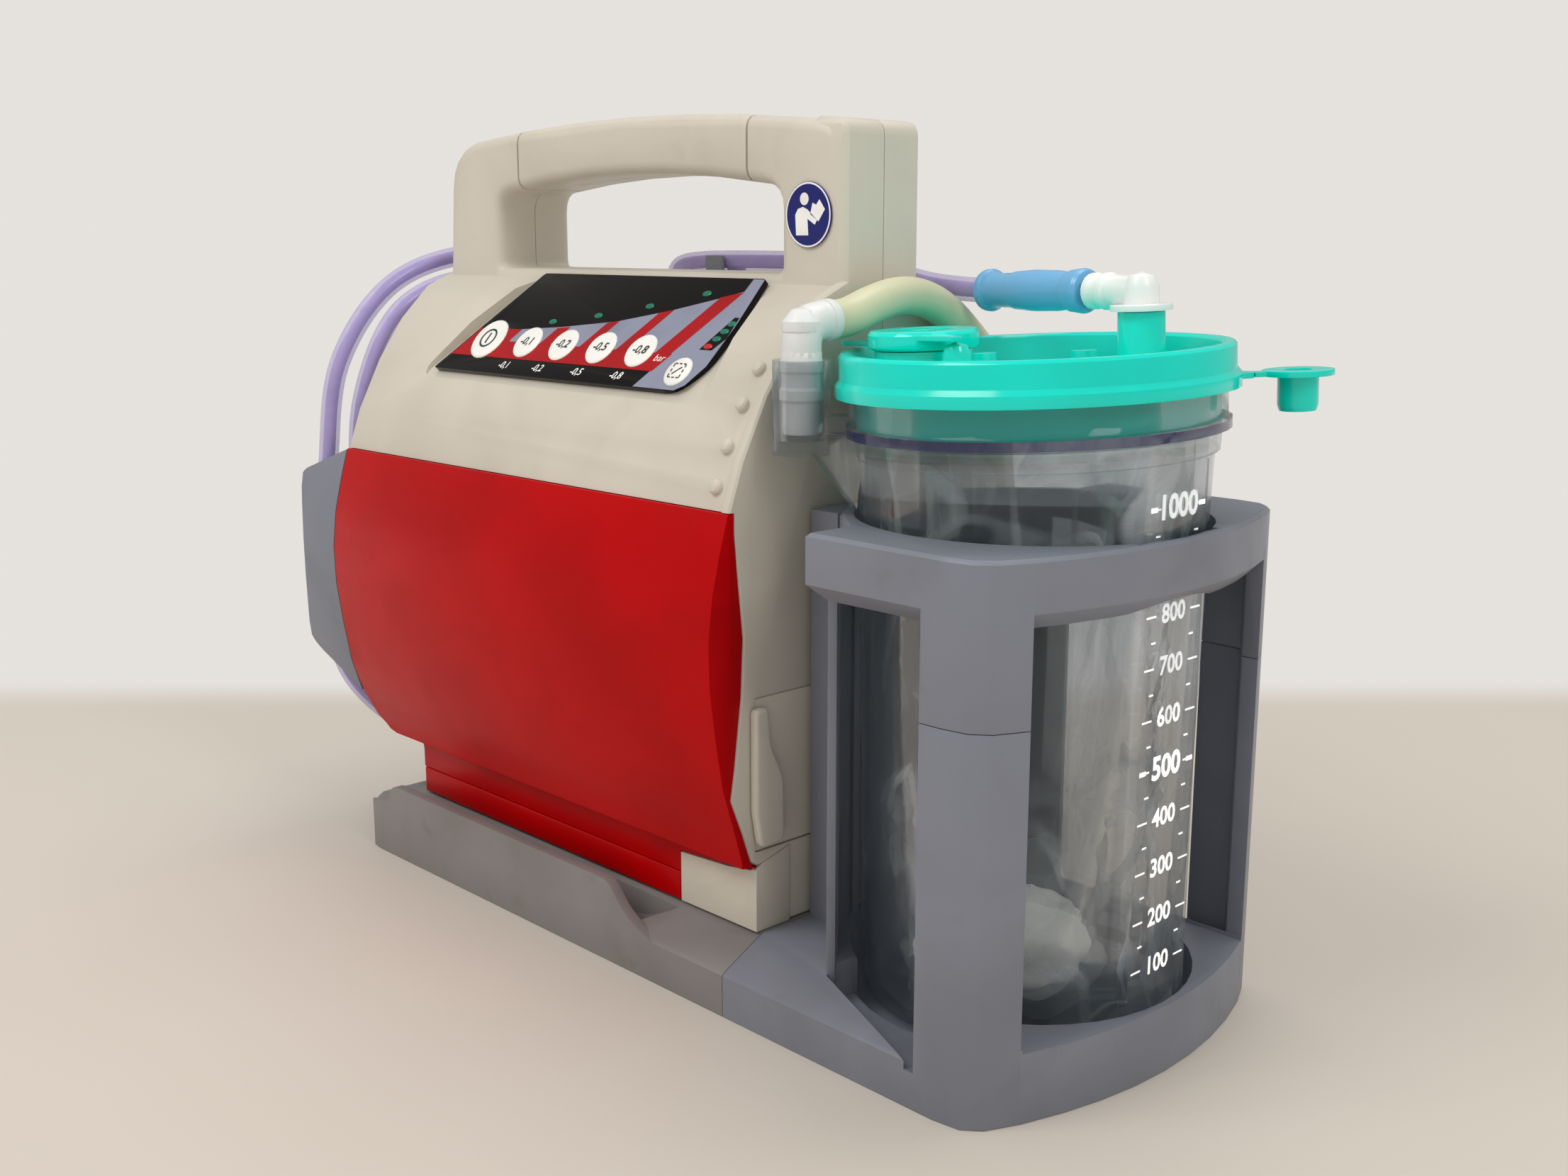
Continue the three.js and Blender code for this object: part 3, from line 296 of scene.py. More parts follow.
@dataclass(frozen=True)
class Printed:
    """A thin layer of ink or a glossy foil."""

    name: str
    colour: Colour
    rough: float = 0.32
    # emission strength: real glow for the panel lamps, painted light for the scale print
    light: float = 0.0
    specular: float = 0.5

    def make(self) -> bpy.types.Material:
        """Builds the material."""
        s = Surface(self.name)
        where = s.place()
        broad = s.noise(where, 60, 3.0, 0.4)
        fine = s.noise(where, 2600, 2.0)
        r, g, b = self.colour
        s.set(Base_Color=s.blend(broad.smooth(0.4, 0.8) * 0.6, ink(r, g, b), ink(r * 0.86, g * 0.86, b * 0.88)))
        s.set(Roughness=(broad - 0.5) * 0.2 + (fine - 0.5) * 0.1 + self.rough, Specular_IOR_Level=self.specular)
        if self.light:
            s.set(Emission_Color=ink(r, g, b), Emission_Strength=self.light)
        s.relief(fine, 0.004 * MM)
        return s.material


@dataclass(frozen=True)
class Metal:
    """Plated or painted metal with a fine brushed direction."""

    name: str
    colour: Colour
    rough: float = 0.35
    metallic: float = 1.0

    def make(self) -> bpy.types.Material:
        """Builds the material."""
        s = Surface(self.name)
        brushed = s.noise(s.place(stretch=(1, 1, 14)), 900, 3.0)
        patch = s.noise(s.place(), 70, 3.0, 0.5)
        r, g, b = self.colour
        s.set(Base_Color=s.blend(patch.smooth(0.4, 0.75), ink(r, g, b), ink(r * 0.82, g * 0.82, b * 0.84)))
        s.set(Metallic=self.metallic, Roughness=(brushed - 0.5) * 0.25 + (patch - 0.5) * 0.2 + self.rough)
        s.relief(brushed, 0.01 * MM)
        return s.material


MADE: dict[str, bpy.types.Material] = {}


class Finish(Enum):
    """Every finish on the pump."""

    CASING = Moulded("casing_plastic", (205, 199, 186), 0.46, 0.45 * MM, 0.018 * MM, 0.05, dirt=0.12)
    COVER = Moulded("cover_plastic", (182, 0, 4), 0.34, 0.5 * MM, 0.012 * MM, 0.08, 0.10, dirt=0.05)
    TRAY = Moulded("tray_plastic", (130, 126, 125), 0.50, 0.6 * MM, 0.02 * MM, 0.10, dirt=0.35)
    HOLDER = Moulded("holder_plastic", (124, 128, 140), 0.44, 0.6 * MM, 0.018 * MM, 0.08, dirt=0.22)
    FOIL = Printed("panel_foil", (12, 10, 11), 0.20, specular=0.18)
    FOIL_RED = Printed("panel_red", (166, 8, 18), 0.28, specular=0.2)
    FOIL_BLUE = Printed("panel_grey_blue", (136, 141, 162), 0.34)
    INK_WHITE = Printed("white_ink", (244, 244, 242), 0.4)
    # The white scale print glows through its emission (0.45): painted light, as the print is no lamp.
    SCALE = Printed("scale_print", (255, 255, 255), 0.5, 0.45)
    INK_DARK = Printed("dark_ink", (28, 52, 44), 0.4)
    LAMP_GREEN = Printed("lamp_green", (0, 112, 84), 0.22, 0.10)
    LAMP_RED = Printed("lamp_red", (190, 24, 24), 0.22, 0.10)
    KEY = Moulded("key_plastic", (240, 240, 236), 0.34, 0.8 * MM, 0.006 * MM, 0.04, dirt=0.05)
    LABEL = Printed("label_foil", (4, 14, 108), 0.26)
    RUBBER = Moulded("rubber_black", (34, 34, 36), 0.72, 0.7 * MM, 0.03 * MM, 0.12, 0.3)
    STEEL = Metal("zinc_steel", (176, 176, 180), 0.34)
    CANISTER = Clear("canister_clear", (150, 162, 172), 0.34, 0.02, 0.02 * MM, 20, 0.0, 0.5, 0.85)
    # The rim and the film both draw painted highlights along their fold lines: faint on the rim, strong on the film.
    RIM = Clear("canister_rim", (26, 28, 78), 0.78, 0.08, 0.02 * MM, 60, 0.1)
    FILM = Clear("liner_film", (250, 252, 253), 0.02, 0.10, 2.6 * MM, 20, 0.85, 0.28)
    SACHET = Moulded("sachet_fleece", (248, 247, 242), 0.75, 0.9 * MM, 0.12 * MM, 0.06, 0.3, 0.25, dirt=0.1)
    LID = Moulded("turquoise_plastic", (0, 224, 208), 0.17, 2.5 * MM, 0.006 * MM, 0.06, 0.5, 0.12, dirt=0.0)
    WHITE = Moulded("white_plastic", (236, 240, 239), 0.30, 1.2 * MM, 0.006 * MM, 0.05, 0.5, 0.12, dirt=0.05)
    GREY = Moulded("grey_plastic", (222, 224, 224), 0.34, 0.9 * MM, 0.008 * MM, 0.06, 0.45, 0.08, dirt=0.1)
    SILICONE = Moulded("milky_silicone", (208, 208, 176), 0.34, 1.6 * MM, 0.012 * MM, 0.08, 0.5, 0.35, dirt=0.12)
    TUBE = Clear("soft_tubing", (196, 184, 232), 0.40, 0.12, 0.03 * MM, 70, 0.0, 0.35)
    BORE = Moulded("tube_bore", (168, 152, 208), 0.4, 1.4 * MM, 0.01 * MM, 0.1, dirt=0.1)
    BLUE = Moulded("soft_blue", (112, 174, 218), 0.24, 1.1 * MM, 0.01 * MM, 0.06, 0.5, 0.4, dirt=0.0)
    MOTOR = Metal("motor_paint", (74, 76, 80), 0.45, 0.7)
    PUMP = Moulded("pump_plastic", (106, 110, 116), 0.5)
    BATTERY = Moulded("battery_wrap", (36, 40, 44), 0.4, 1.5 * MM)
    BOARD = Moulded("solder_mask", (31, 107, 58), 0.3, 1.2 * MM)

    def made(self) -> bpy.types.Material:
        """The finish's material, built once."""
        if self.name not in MADE:
            MADE[self.name] = self.value.make()
        return MADE[self.name]


# ---------------------------------------------------------------- mesh tools


def mesh_object(name: str, verts: Points, faces: Sequence[Sequence[int]], finish: Finish, smooth: bool = True,
                place: Matrix | None = None) -> bpy.types.Object:
    """A mesh object in the row frame.

    Args:
        name: The piece's name.
        verts: Corner points.
        faces: Corner numbers of each face.
        finish: What it is made of.
        smooth: Whether it is shaded smooth up to 35 degrees.
        place: Moves the mesh into place.

    Returns:
        The object, at the origin.
    """
    data = bpy.data.meshes.new(name)
    data.from_pydata([tuple(v) for v in verts], [], [tuple(f) for f in faces])
    return mesh_from(name, data, finish, smooth, place)


def mesh_from(name: str, data: bpy.types.Mesh, finish: Finish, smooth: bool = True,
              place: Matrix | None = None) -> bpy.types.Object:
    """Finishes mesh data as an object: placed, shaded and with its material.

    Args:
        name: The piece's name.
        data: Its mesh.
        finish: What it is made of.
        smooth: Whether it is shaded smooth up to 35 degrees.
        place: Moves the mesh into place.

    Returns:
        The object, at the origin.
    """
    if place is not None:
        data.transform(place)
    data.materials.clear()
    data.materials.append(finish.made())
    if smooth:
        data.shade_smooth()
        data.set_sharp_from_angle(angle=math.radians(35))
    data.update()
    made = bpy.data.objects.new(name, data)
    bpy.context.scene.collection.objects.link(made)
    return made


def refined(node: str, finish: Finish, bevel: float = 0.0, angle: float = 32.0) -> bpy.types.Object:
    """A copy of a solid's mesh with its facets merged, its corners eased and its curves smooth.

    Args:
        node: The solid's name.
        finish: What it is made of.
        bevel: Width of the eased corners, in metres.
        angle: Degrees past which an edge stays a corner.

    Returns:
        The new object.
    """
    bm = bmesh.new()
    bm.from_mesh(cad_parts[node].data)
    bmesh.ops.remove_doubles(bm, verts=bm.verts, dist=2e-6)
    bmesh.ops.dissolve_limit(bm, angle_limit=math.radians(0.6), verts=bm.verts, edges=bm.edges)
    if bevel:
        sharp = [e for e in bm.edges if len(e.link_faces) == 2 and e.calc_face_angle(0) > math.radians(angle)]
        bmesh.ops.bevel(bm, geom=sharp, offset=bevel, offset_type="OFFSET", segments=2, profile=0.6,
                        affect="EDGES", clamp_overlap=True)
    data = bpy.data.meshes.new(node + "_look")
    bm.to_mesh(data)
    bm.free()
    made = mesh_from(node + "_look", data, finish)
    made.data.set_sharp_from_angle(angle=math.radians(angle))
    return made


def turned(profile: Points, sides: int = 64) -> tuple[list[Vector], list[list[int]]]:
    """A profile of (radius, height) turned round Z; points on the axis become poles.

    Args:
        profile: From one end of the section to the other.
        sides: Steps round the turn.

    Returns:
        Points and faces.
    """
    verts: list[Vector] = []
    rows: list[list[int]] = []
    for radius, height in profile:
        if radius < 1e-9:
            rows.append([len(verts)] * sides)
            verts.append(Vector((0, 0, height)))
            continue
        rows.append([len(verts) + i for i in range(sides)])
        for i in range(sides):
            a = 2 * math.pi * i / sides
            verts.append(Vector((radius * math.cos(a), radius * math.sin(a), height)))
    faces = []
    for low, high in zip(rows, rows[1:]):
        for i in range(sides):
            j = (i + 1) % sides
            corners = [low[i], low[j], high[j], high[i]]
            face = [c for n, c in enumerate(corners) if c not in corners[:n]]
            if len(face) > 2:
                faces.append(face)
    return verts, faces


def smooth_line(points: Points, step: float) -> list[Vector]:
    """A centripetal curve through points.

    Args:
        points: What it passes through.
        step: About how far apart the samples are, in metres.

    Returns:
        The samples.
    """
    p = [Vector(q) for q in points]
    p = [2 * p[0] - p[1], *p, 2 * p[-1] - p[-2]]
    out: list[Vector] = []
    for a, b, c, d in zip(p, p[1:], p[2:], p[3:]):
        t0, t1 = 0.0, (b - a).length ** 0.5
        t2 = t1 + (c - b).length ** 0.5
        t3 = t2 + (d - c).length ** 0.5
        count = max(2, round((c - b).length / step))
        for i in range(count):
            t = t1 + (t2 - t1) * i / count
            a1 = (t1 - t) / (t1 - t0) * a + (t - t0) / (t1 - t0) * b
            a2 = (t2 - t) / (t2 - t1) * b + (t - t1) / (t2 - t1) * c
            a3 = (t3 - t) / (t3 - t2) * c + (t - t2) / (t3 - t2) * d
            b1 = (t2 - t) / (t2 - t0) * a1 + (t - t0) / (t2 - t0) * a2
            b2 = (t3 - t) / (t3 - t1) * a2 + (t - t1) / (t3 - t1) * a3
            out.append((t2 - t) / (t2 - t1) * b1 + (t - t1) / (t2 - t1) * b2)
    out.append(p[-2])
    return out


def swept(line: Sequence[Vector], radius: float | Callable[[float], float],
          sides: int = 16) -> tuple[list[Vector], list[list[int]]]:
    """A round bar along a line, with closed ends.

    Args:
        line: The centre line.
        radius: One radius, or a function of the share of the way along.
        sides: Corners of the section.

    Returns:
        Points and faces.
    """
    size = radius if callable(radius) else lambda _share: radius
    verts, faces = [], []
    way = (line[1] - line[0]).normalized()
    side = way.orthogonal().normalized()
    for n, point in enumerate(line):
        ahead = (line[min(n + 1, len(line) - 1)] - line[max(n - 1, 0)]).normalized()
        side = (side - ahead * side.dot(ahead)).normalized()
        up = ahead.cross(side)
        r = size(n / (len(line) - 1))
        for i in range(sides):
            a = 2 * math.pi * i / sides
            verts.append(point + r * (math.cos(a) * side + math.sin(a) * up))
    for n in range(len(line) - 1):
        for i in range(sides):
            j = (i + 1) % sides
            faces.append([n * sides + i, n * sides + j, (n + 1) * sides + j, (n + 1) * sides + i])
    faces.append(list(reversed(range(sides))))
    faces.append([(len(line) - 1) * sides + i for i in range(sides)])
    return verts, faces


def lettering(name: str, text: str, height: float, finish: Finish, place: Matrix, slant: float = 0.0,
              weight: float = 0.0) -> bpy.types.Object:
    """Flat figures centred on a plane's origin.

    Args:
        name: The piece's name.
        text: The figures.
        height: Height of a capital.
        finish: The ink.
        place: The plane: X along the text, Y up it, Z out of it.
        slant: How far the figures lean.
        weight: Extra thickness of the strokes.

    Returns:
        The mesh object.
    """
    curve = bpy.data.curves.new(name, "FONT")
    curve.body, curve.size, curve.shear, curve.offset = text, height / 0.7, slant, weight
    curve.align_x, curve.align_y = "CENTER", "CENTER"
    curve.resolution_u = 3
    drawn = bpy.data.objects.new(name, curve)
    bpy.context.scene.collection.objects.link(drawn)
    bpy.context.view_layer.update()
    data = bpy.data.meshes.new_from_object(drawn.evaluated_get(bpy.context.evaluated_depsgraph_get()))
    bpy.data.objects.remove(drawn)
    return mesh_from(name, data, finish, False, place)


def flat_shape(name: str, outline: Points, finish: Finish, place: Matrix) -> bpy.types.Object:
    """A flat polygon of ink on a plane; the outline runs anticlockwise."""
    return mesh_object(name, [(x, y, 0) for x, y in outline], [range(len(outline))], finish, False, place)


def ring_shape(outer: float, inner: float, sides: int = 48) -> tuple[list[Vector], list[list[int]]]:
    """A flat ring about the origin.

    Args:
        outer: Its outer radius.
        inner: Its inner radius.
        sides: Steps round the turn.

    Returns:
        Points and faces.
    """
    verts = [Vector((r * math.cos(2 * math.pi * i / sides), r * math.sin(2 * math.pi * i / sides), 0))
             for r in (outer, inner) for i in range(sides)]
    faces = [[i, (i + 1) % sides, sides + (i + 1) % sides, sides + i] for i in range(sides)]
    return verts, faces


def axes(origin: Sequence[float], right: Sequence[float], up: Sequence[float]) -> Matrix:
    """A plane's matrix.

    Args:
        origin: The plane's origin.
        right: The way its X runs.
        up: The way its Y runs.

    Returns:
        The matrix, whose Z comes out of the plane.
    """
    x, y = Vector(right).normalized(), Vector(up).normalized()
    z = x.cross(y)
    made = Matrix((x, y, z)).transposed().to_4x4()
    made.translation = Vector(origin)
    return made


# ---------------------------------------------------------------- geometry nodes


class Row:
    """A Geometry Nodes tree that repeats one small bar along a straight line."""

    def __init__(self) -> None:
        """Builds the tree, with named inputs."""
        self.tree = bpy.data.node_groups.new("row_of_bars", "GeometryNodeTree")
        self.names: dict[str, str] = {}
        for label, kind in (("Count", "Int"), ("Start", "Vector"), ("Step", "Vector"), ("Size", "Vector"),
                            ("Material", "Material")):
            socket = self.tree.interface.new_socket(name=label, in_out="INPUT", socket_type=f"NodeSocket{kind}")
            self.names[label] = socket.identifier
        self.tree.interface.new_socket(name="Geometry", in_out="OUTPUT", socket_type="NodeSocketGeometry")
        given = self._add("NodeGroupInput")
        line = self._add("GeometryNodeMeshLine", mode="OFFSET")
        self._link(given, "Count", line, "Count")
        self._link(given, "Start", line, "Start Location")
        self._link(given, "Step", line, "Offset")
        bar = self._add("GeometryNodeMeshCube")
        self._link(given, "Size", bar, "Size")
        scatter = self._add("GeometryNodeInstanceOnPoints")
        self.tree.links.new(line.outputs[0], scatter.inputs["Points"])
        self.tree.links.new(bar.outputs[0], scatter.inputs["Instance"])
        real = self._add("GeometryNodeRealizeInstances")
        dress = self._add("GeometryNodeSetMaterial")
        out = self._add("NodeGroupOutput")
        self.tree.links.new(scatter.outputs[0], real.inputs[0])
        self.tree.links.new(real.outputs[0], dress.inputs["Geometry"])
        self._link(given, "Material", dress, "Material")
        self.tree.links.new(dress.outputs[0], out.inputs[0])

    def _add(self, kind: str, **settings: object) -> bpy.types.Node:
        """Adds a node with its settings."""
        made = self.tree.nodes.new(kind)
        for key, value in settings.items():
            setattr(made, key, value)
        return made

    def _link(self, a: bpy.types.Node, out: str, b: bpy.types.Node, into: str) -> None:
        """Links two named sockets."""
        self.tree.links.new(a.outputs[out], b.inputs[into])

    def lay(self, name: str, finish: Finish, count: int, start: Sequence[float], step: Sequence[float],
            size: Sequence[float], place: Matrix) -> bpy.types.Object:
        """Lays one row and turns it into a plain mesh.

        Args:
            name: The piece's name.
            finish: What it is made of.
            count: How many bars.
            start: The first one's centre on the plane.
            step: From one to the next.
            size: A bar's length along X, Y and Z of the plane.
            place: The plane that the row lies on.

        Returns:
            The mesh object.
        """
        holder = bpy.data.objects.new(name + "_row", bpy.data.meshes.new(name + "_row"))
        bpy.context.scene.collection.objects.link(holder)
        modifier = holder.modifiers.new("row", "NODES")
        modifier.node_group = self.tree
        values = {"Count": count, "Start": start, "Step": step, "Size": size, "Material": finish.made()}
        for label, value in values.items():
            modifier[self.names[label]] = value
        bpy.context.view_layer.update()
        data = bpy.data.meshes.new_from_object(holder.evaluated_get(bpy.context.evaluated_depsgraph_get()))
        bpy.data.objects.remove(holder)
        data.transform(place)
        made = bpy.data.objects.new(name, data)
        bpy.context.scene.collection.objects.link(made)
        return made


# ---------------------------------------------------------------- sub-assemblies


@dataclass
class Assembly:
    """A group of pieces that one class builds."""

    def keep(self, piece: bpy.types.Object, body: str = "pump", slot: str = "", stands_for: Iterable[str] = ()
             ) -> bpy.types.Object:
        """Fixes a finished piece to its body and reports it.

        Args:
            piece: The finished piece.
            body: The body that it moves with.
            slot: The record's material slot; not used.
            stands_for: Solids that it replaces.

        Returns:
            The piece.
        """
        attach(piece, body)
        if stands_for:
            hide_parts(*stands_for)
        LOG.info("%s: %s", type(self).__name__, piece.name)
        return piece

    def dress(self, finish: Finish, *nodes: str) -> None:
        """Gives solids that stay as they are their finish.

        Args:
            finish: What they are made of.
            nodes: The solids' names.
        """
        for node in nodes:
            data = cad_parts[node].data
            data.materials.clear()
            data.materials.append(finish.made())

    def refine(self, finish: Finish, slot: str, bevel: float, *nodes: str, body: str = "pump") -> None:
        """Replaces solids with their eased and smoothed copies.

        Args:
            finish: What they are made of.
            slot: The record's material slot, handed on to keep; not used.
            bevel: Width of the eased corners, in metres.
            nodes: The solids' names.
            body: The body that they move with.
        """
        for node in nodes:
            self.keep(refined(node, finish, bevel), body, slot, [node])

    def build(self) -> None:
        """Makes every piece of the group."""
        raise NotImplementedError


@dataclass
class Casing(Assembly):
    """The pump's two casing halves with what is screwed and snapped on them."""

    ease: float = 0.7 * MM
    label_radius: float = 11 * MM

    def build(self) -> None:
        """Shells, cover, door, latch, label and screws."""
        self.refine(Finish.CASING, "casing_plastic", self.ease, "front_casing", "rear_casing", "battery_door")
        self.refine(Finish.CASING, "casing_plastic", self.ease, "skirt_corner")
        self.refine(Finish.CASING, "casing_plastic", self.ease, "battery_latch", body="battery_latch")
        self.refine(Finish.COVER, "cover_plastic", self.ease, "front_cover", "plinth_strip")
        self.refine(Finish.RUBBER, "rubber_black", 0.5 * MM, "charge_socket")
        self.refine(Finish.RUBBER, "rubber_black", 0.5 * MM, "socket_flap", body="socket_flap")
        self.dress(Finish.STEEL, *[f"case_screw_{n}" for n in range(1, 5)])
        self.dress(Finish.RUBBER, *[f"rubber_foot_{n}" for n in range(1, 5)])
        self.label()

    def label(self) -> None:
        """The round blue disc with a plain figure that reads a sheet."""
        self.refine(Finish.LABEL, "label_foil", 0.0, "label_disc")
        low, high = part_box("label_disc")
        middle = (low + high) / 2
        plane = axes((middle.x, low.y - 0.05 * MM, middle.z), (1, 0, 0), (0, 0, 1))
        r = self.label_radius
        verts, faces = ring_shape(r * 0.985, r * 0.93)
        self.keep(mesh_object("label_edge", verts, faces, Finish.INK_WHITE, False, plane), slot="label_foil")
        head = [(-0.16 * r + 0.19 * r * math.cos(t * math.pi / 12), 0.48 * r + 0.19 * r * math.sin(t * math.pi / 12))
                for t in range(24)]
        body = [(-0.52, -0.62), (0.02, -0.62), (-0.02, -0.12), (0.30, -0.30), (0.40, -0.16), (-0.02, 0.16),
                (-0.22, 0.24), (-0.44, 0.18), (-0.56, 0.0)]
        sheet = [(0.10, 0.02), (0.46, -0.20), (0.74, 0.16), (0.50, 0.46), (0.36, 0.30), (0.20, 0.36)]
        self.keep(flat_shape("label_head", head, Finish.INK_WHITE, plane), slot="label_foil")
        for name, points in (("label_figure", body), ("label_sheet", sheet)):
            outline = [(x * r, y * r) for x, y in points]
            self.keep(flat_shape(name, outline, Finish.INK_WHITE, plane), slot="label_foil")


@dataclass
class Panel(Assembly):
    """The sloping foil with its printed scale, lamps and keys."""

    origin: tuple[float, float, float] = (0, -56 * MM, 207.5 * MM)
    up: tuple[float, float, float] = (0, 0.66679, 0.74524)
    lean: float = 0.614  # how far the printed bars lean along the panel

    def plane(self, u: float, v: float, lift: float) -> Matrix:
        """The panel's plane at (u, v) millimetres, lifted off it."""
        base = axes(self.origin, (1, 0, 0), self.up)
        return base @ Matrix.Translation((u * MM, v * MM, lift * MM))

    def build(self) -> None:
        """Foil, print, lamps and keys."""
        self.refine(Finish.FOIL, "panel_foil", 0.15 * MM, "control_panel")
        self.print_areas()
        self.print_figures()
        self.lamps()
        self.keys()

    def area(self, name: str, points: Points, finish: Finish, lift: float) -> None:
        """One printed area, its corners in millimetres on the panel."""
        outline = [(u * MM, v * MM) for u, v in points]
        self.keep(flat_shape(name, outline, finish, self.plane(0, 0, lift)), slot="panel_foil")

    def print_areas(self) -> None:
        """The grey wedge, the band behind the keys and the rising bars."""
        wedge = [(-14.3, 0.7), (8.1, 0.7), (12.2, 3.2), (16.9, 11.8), (18.9, 30), (18.9, 50.4), (13.2, 50.4),
                 (12.4, 44.8), (1.4, 41.2), (-19.7, 35), (-46.2, 28.7), (-76.4, 24.6), (-104, 22), (-104, 15),
                 (-6, 15)]
        self.area("panel_wedge", wedge, Finish.FOIL_BLUE, 0.05)
        band = [(-137.6, 7.8), (-9.3, 7.8), (-4.2, 16), (-104.4, 16), (-100.8, 22.2), (-128.6, 21.5)]
        self.area("panel_band", band, Finish.FOIL_RED, 0.09)
        for n, (left, right, low, high) in enumerate([(-78.8, -71.3, 23.9, 24.9), (-51.1, -44.5, 27.8, 29.2),
                                                      (-25.4, -18.1, 33.7, 35.4), (2.2, 12.6, 41.8, 44.6)]):
            foot = [left - self.lean * (low - 15.9), right - self.lean * (high - 15.9)]
            bar = [(foot[0], 15.9), (foot[1], 15.9), (right, high), (left, low)]
            self.area(f"panel_bar_{n + 1}", bar, Finish.FOIL_RED, 0.09)
        field = [(8.1, 18.6), (14.6, 18.6), (18.3, 24.0), (18.3, 33.2), (16.0, 33.2)]
        self.area("charge_field", field, Finish.FOIL, 0.13)

    def print_figures(self) -> None:
        """The scale below the keys and the unit."""
        for n, (u, text) in enumerate([(-97.2, "-0,1"), (-75.3, "-0,2"), (-50.8, "-0,5"), (-27.2, "-0,8")]):
            place = self.plane(u, 4.6, 0.09)
            made = lettering(f"scale_{n + 1}", text, 3.1 * MM, Finish.INK_WHITE, place, 0.25, 0.05 * MM)
            self.keep(made, slot="panel_foil")
        unit = lettering("scale_unit", "bar", 3.0 * MM, Finish.INK_WHITE, self.plane(-9.6, 13.6, 0.15), 0.25)
        self.keep(unit, slot="panel_foil")

    def lamps(self) -> None:
        """Small domed lamps under the foil."""
        dome = [(2.3 * MM, 0.0), (2.1 * MM, 0.12 * MM), (1.4 * MM, 0.22 * MM), (0.0, 0.26 * MM)]
        for n, (u, v) in enumerate([(-84.6, 26.9), (-59.3, 31.0), (-33.2, 36.6), (-6.4, 43.4)]):
            verts, faces = turned(dome, 24)
            verts = [Vector((x * 1.0, y * 0.55, z)) for x, y, z in verts]
            self.keep(mesh_object(f"lamp_{n + 1}", verts, faces, Finish.LAMP_GREEN, True, self.plane(u, v, 0.04)),
                      slot="panel_foil")
        for n, (u, v) in enumerate([(11.6, 20.2), (13.6, 23.6), (15.2, 27.0), (16.6, 30.4)]):
            verts, faces = turned(dome, 24)
            verts = [Vector((x * 0.95, y * 0.5, z)) for x, y, z in verts]
            finish = Finish.LAMP_RED if n == 0 else Finish.LAMP_GREEN
            self.keep(mesh_object(f"charge_lamp_{n + 1}", verts, faces, finish, True, self.plane(u, v, 0.13)),
                      slot="panel_foil")

    def keys(self) -> None:
        """Six white keys, each with its figure."""
        marks = [("vacuum_key_1", -91.5, "-0,1"), ("vacuum_key_2", -68.3, "-0,2"), ("vacuum_key_3", -45.2, "-0,5"),
                 ("vacuum_key_4", -22, "-0,8")]
        for key, u, text in marks:
            self.refine(Finish.KEY, "key_plastic", 0.2 * MM, key, body=key)
            place = self.plane(u, 16.2, 0.86)
            made = lettering(f"{key}_figure", text, 3.6 * MM, Finish.INK_DARK, place, 0.2, 0.06 * MM)
            self.keep(made, key, "key_plastic")
        for key in ("power_key", "check_key"):
            self.refine(Finish.KEY, "key_plastic", 0.2 * MM, key, body=key)
        verts, faces = ring_shape(4.6 * MM, 3.8 * MM)
        place = self.plane(-118, 16.4, 0.86)
        self.keep(mesh_object("power_ring", verts, faces, Finish.INK_DARK, False, place), "power_key", "key_plastic")
        stroke = [(x * MM, y * MM) for x, y in ((-0.45, -2.6), (0.45, -2.6), (0.45, 2.6), (-0.45, 2.6))]
        self.keep(flat_shape("power_stroke", stroke, Finish.INK_DARK, place), "power_key", "key_plastic")
        self.check_mark()

    def check_mark(self) -> None:
        """The dashed square with a stroke on the check key."""
        place = self.plane(4.6, 8.6, 0.86)
        row = Row()
        for n in range(4):
            turn = place @ Matrix.Rotation(n * math.pi / 2, 4, "Z")
            made = row.lay(f"check_dash_{n + 1}", Finish.INK_DARK, 3, (-2.2 * MM, -3.0 * MM, 0),
                           (2.2 * MM, 0, 0), (1.3 * MM, 0.45 * MM, 0.02 * MM), turn)
            self.keep(made, "check_key", "key_plastic")
        stroke = [(x * MM, y * MM) for x, y in ((-1.9, -1.4), (-1.5, -1.8), (1.9, 1.4), (1.5, 1.8))]
        self.keep(flat_shape("check_stroke", stroke, Finish.INK_DARK, place), "check_key", "key_plastic")


@dataclass
class Holder(Assembly):
    """The tray, the open holder for the canister and the hose guide."""

    ease: float = 0.9 * MM

    def build(self) -> None:
        """Tray, frame, ring, guide and clips."""
        self.refine(Finish.TRAY, "tray_plastic", self.ease, "base_tray")
        self.refine(Finish.HOLDER, "holder_plastic", self.ease, "holder_frame", "holder_ring", "hose_guide")
        self.refine(Finish.HOLDER, "holder_plastic", 0.5 * MM, "tube_clip_left", "tube_clip_right")


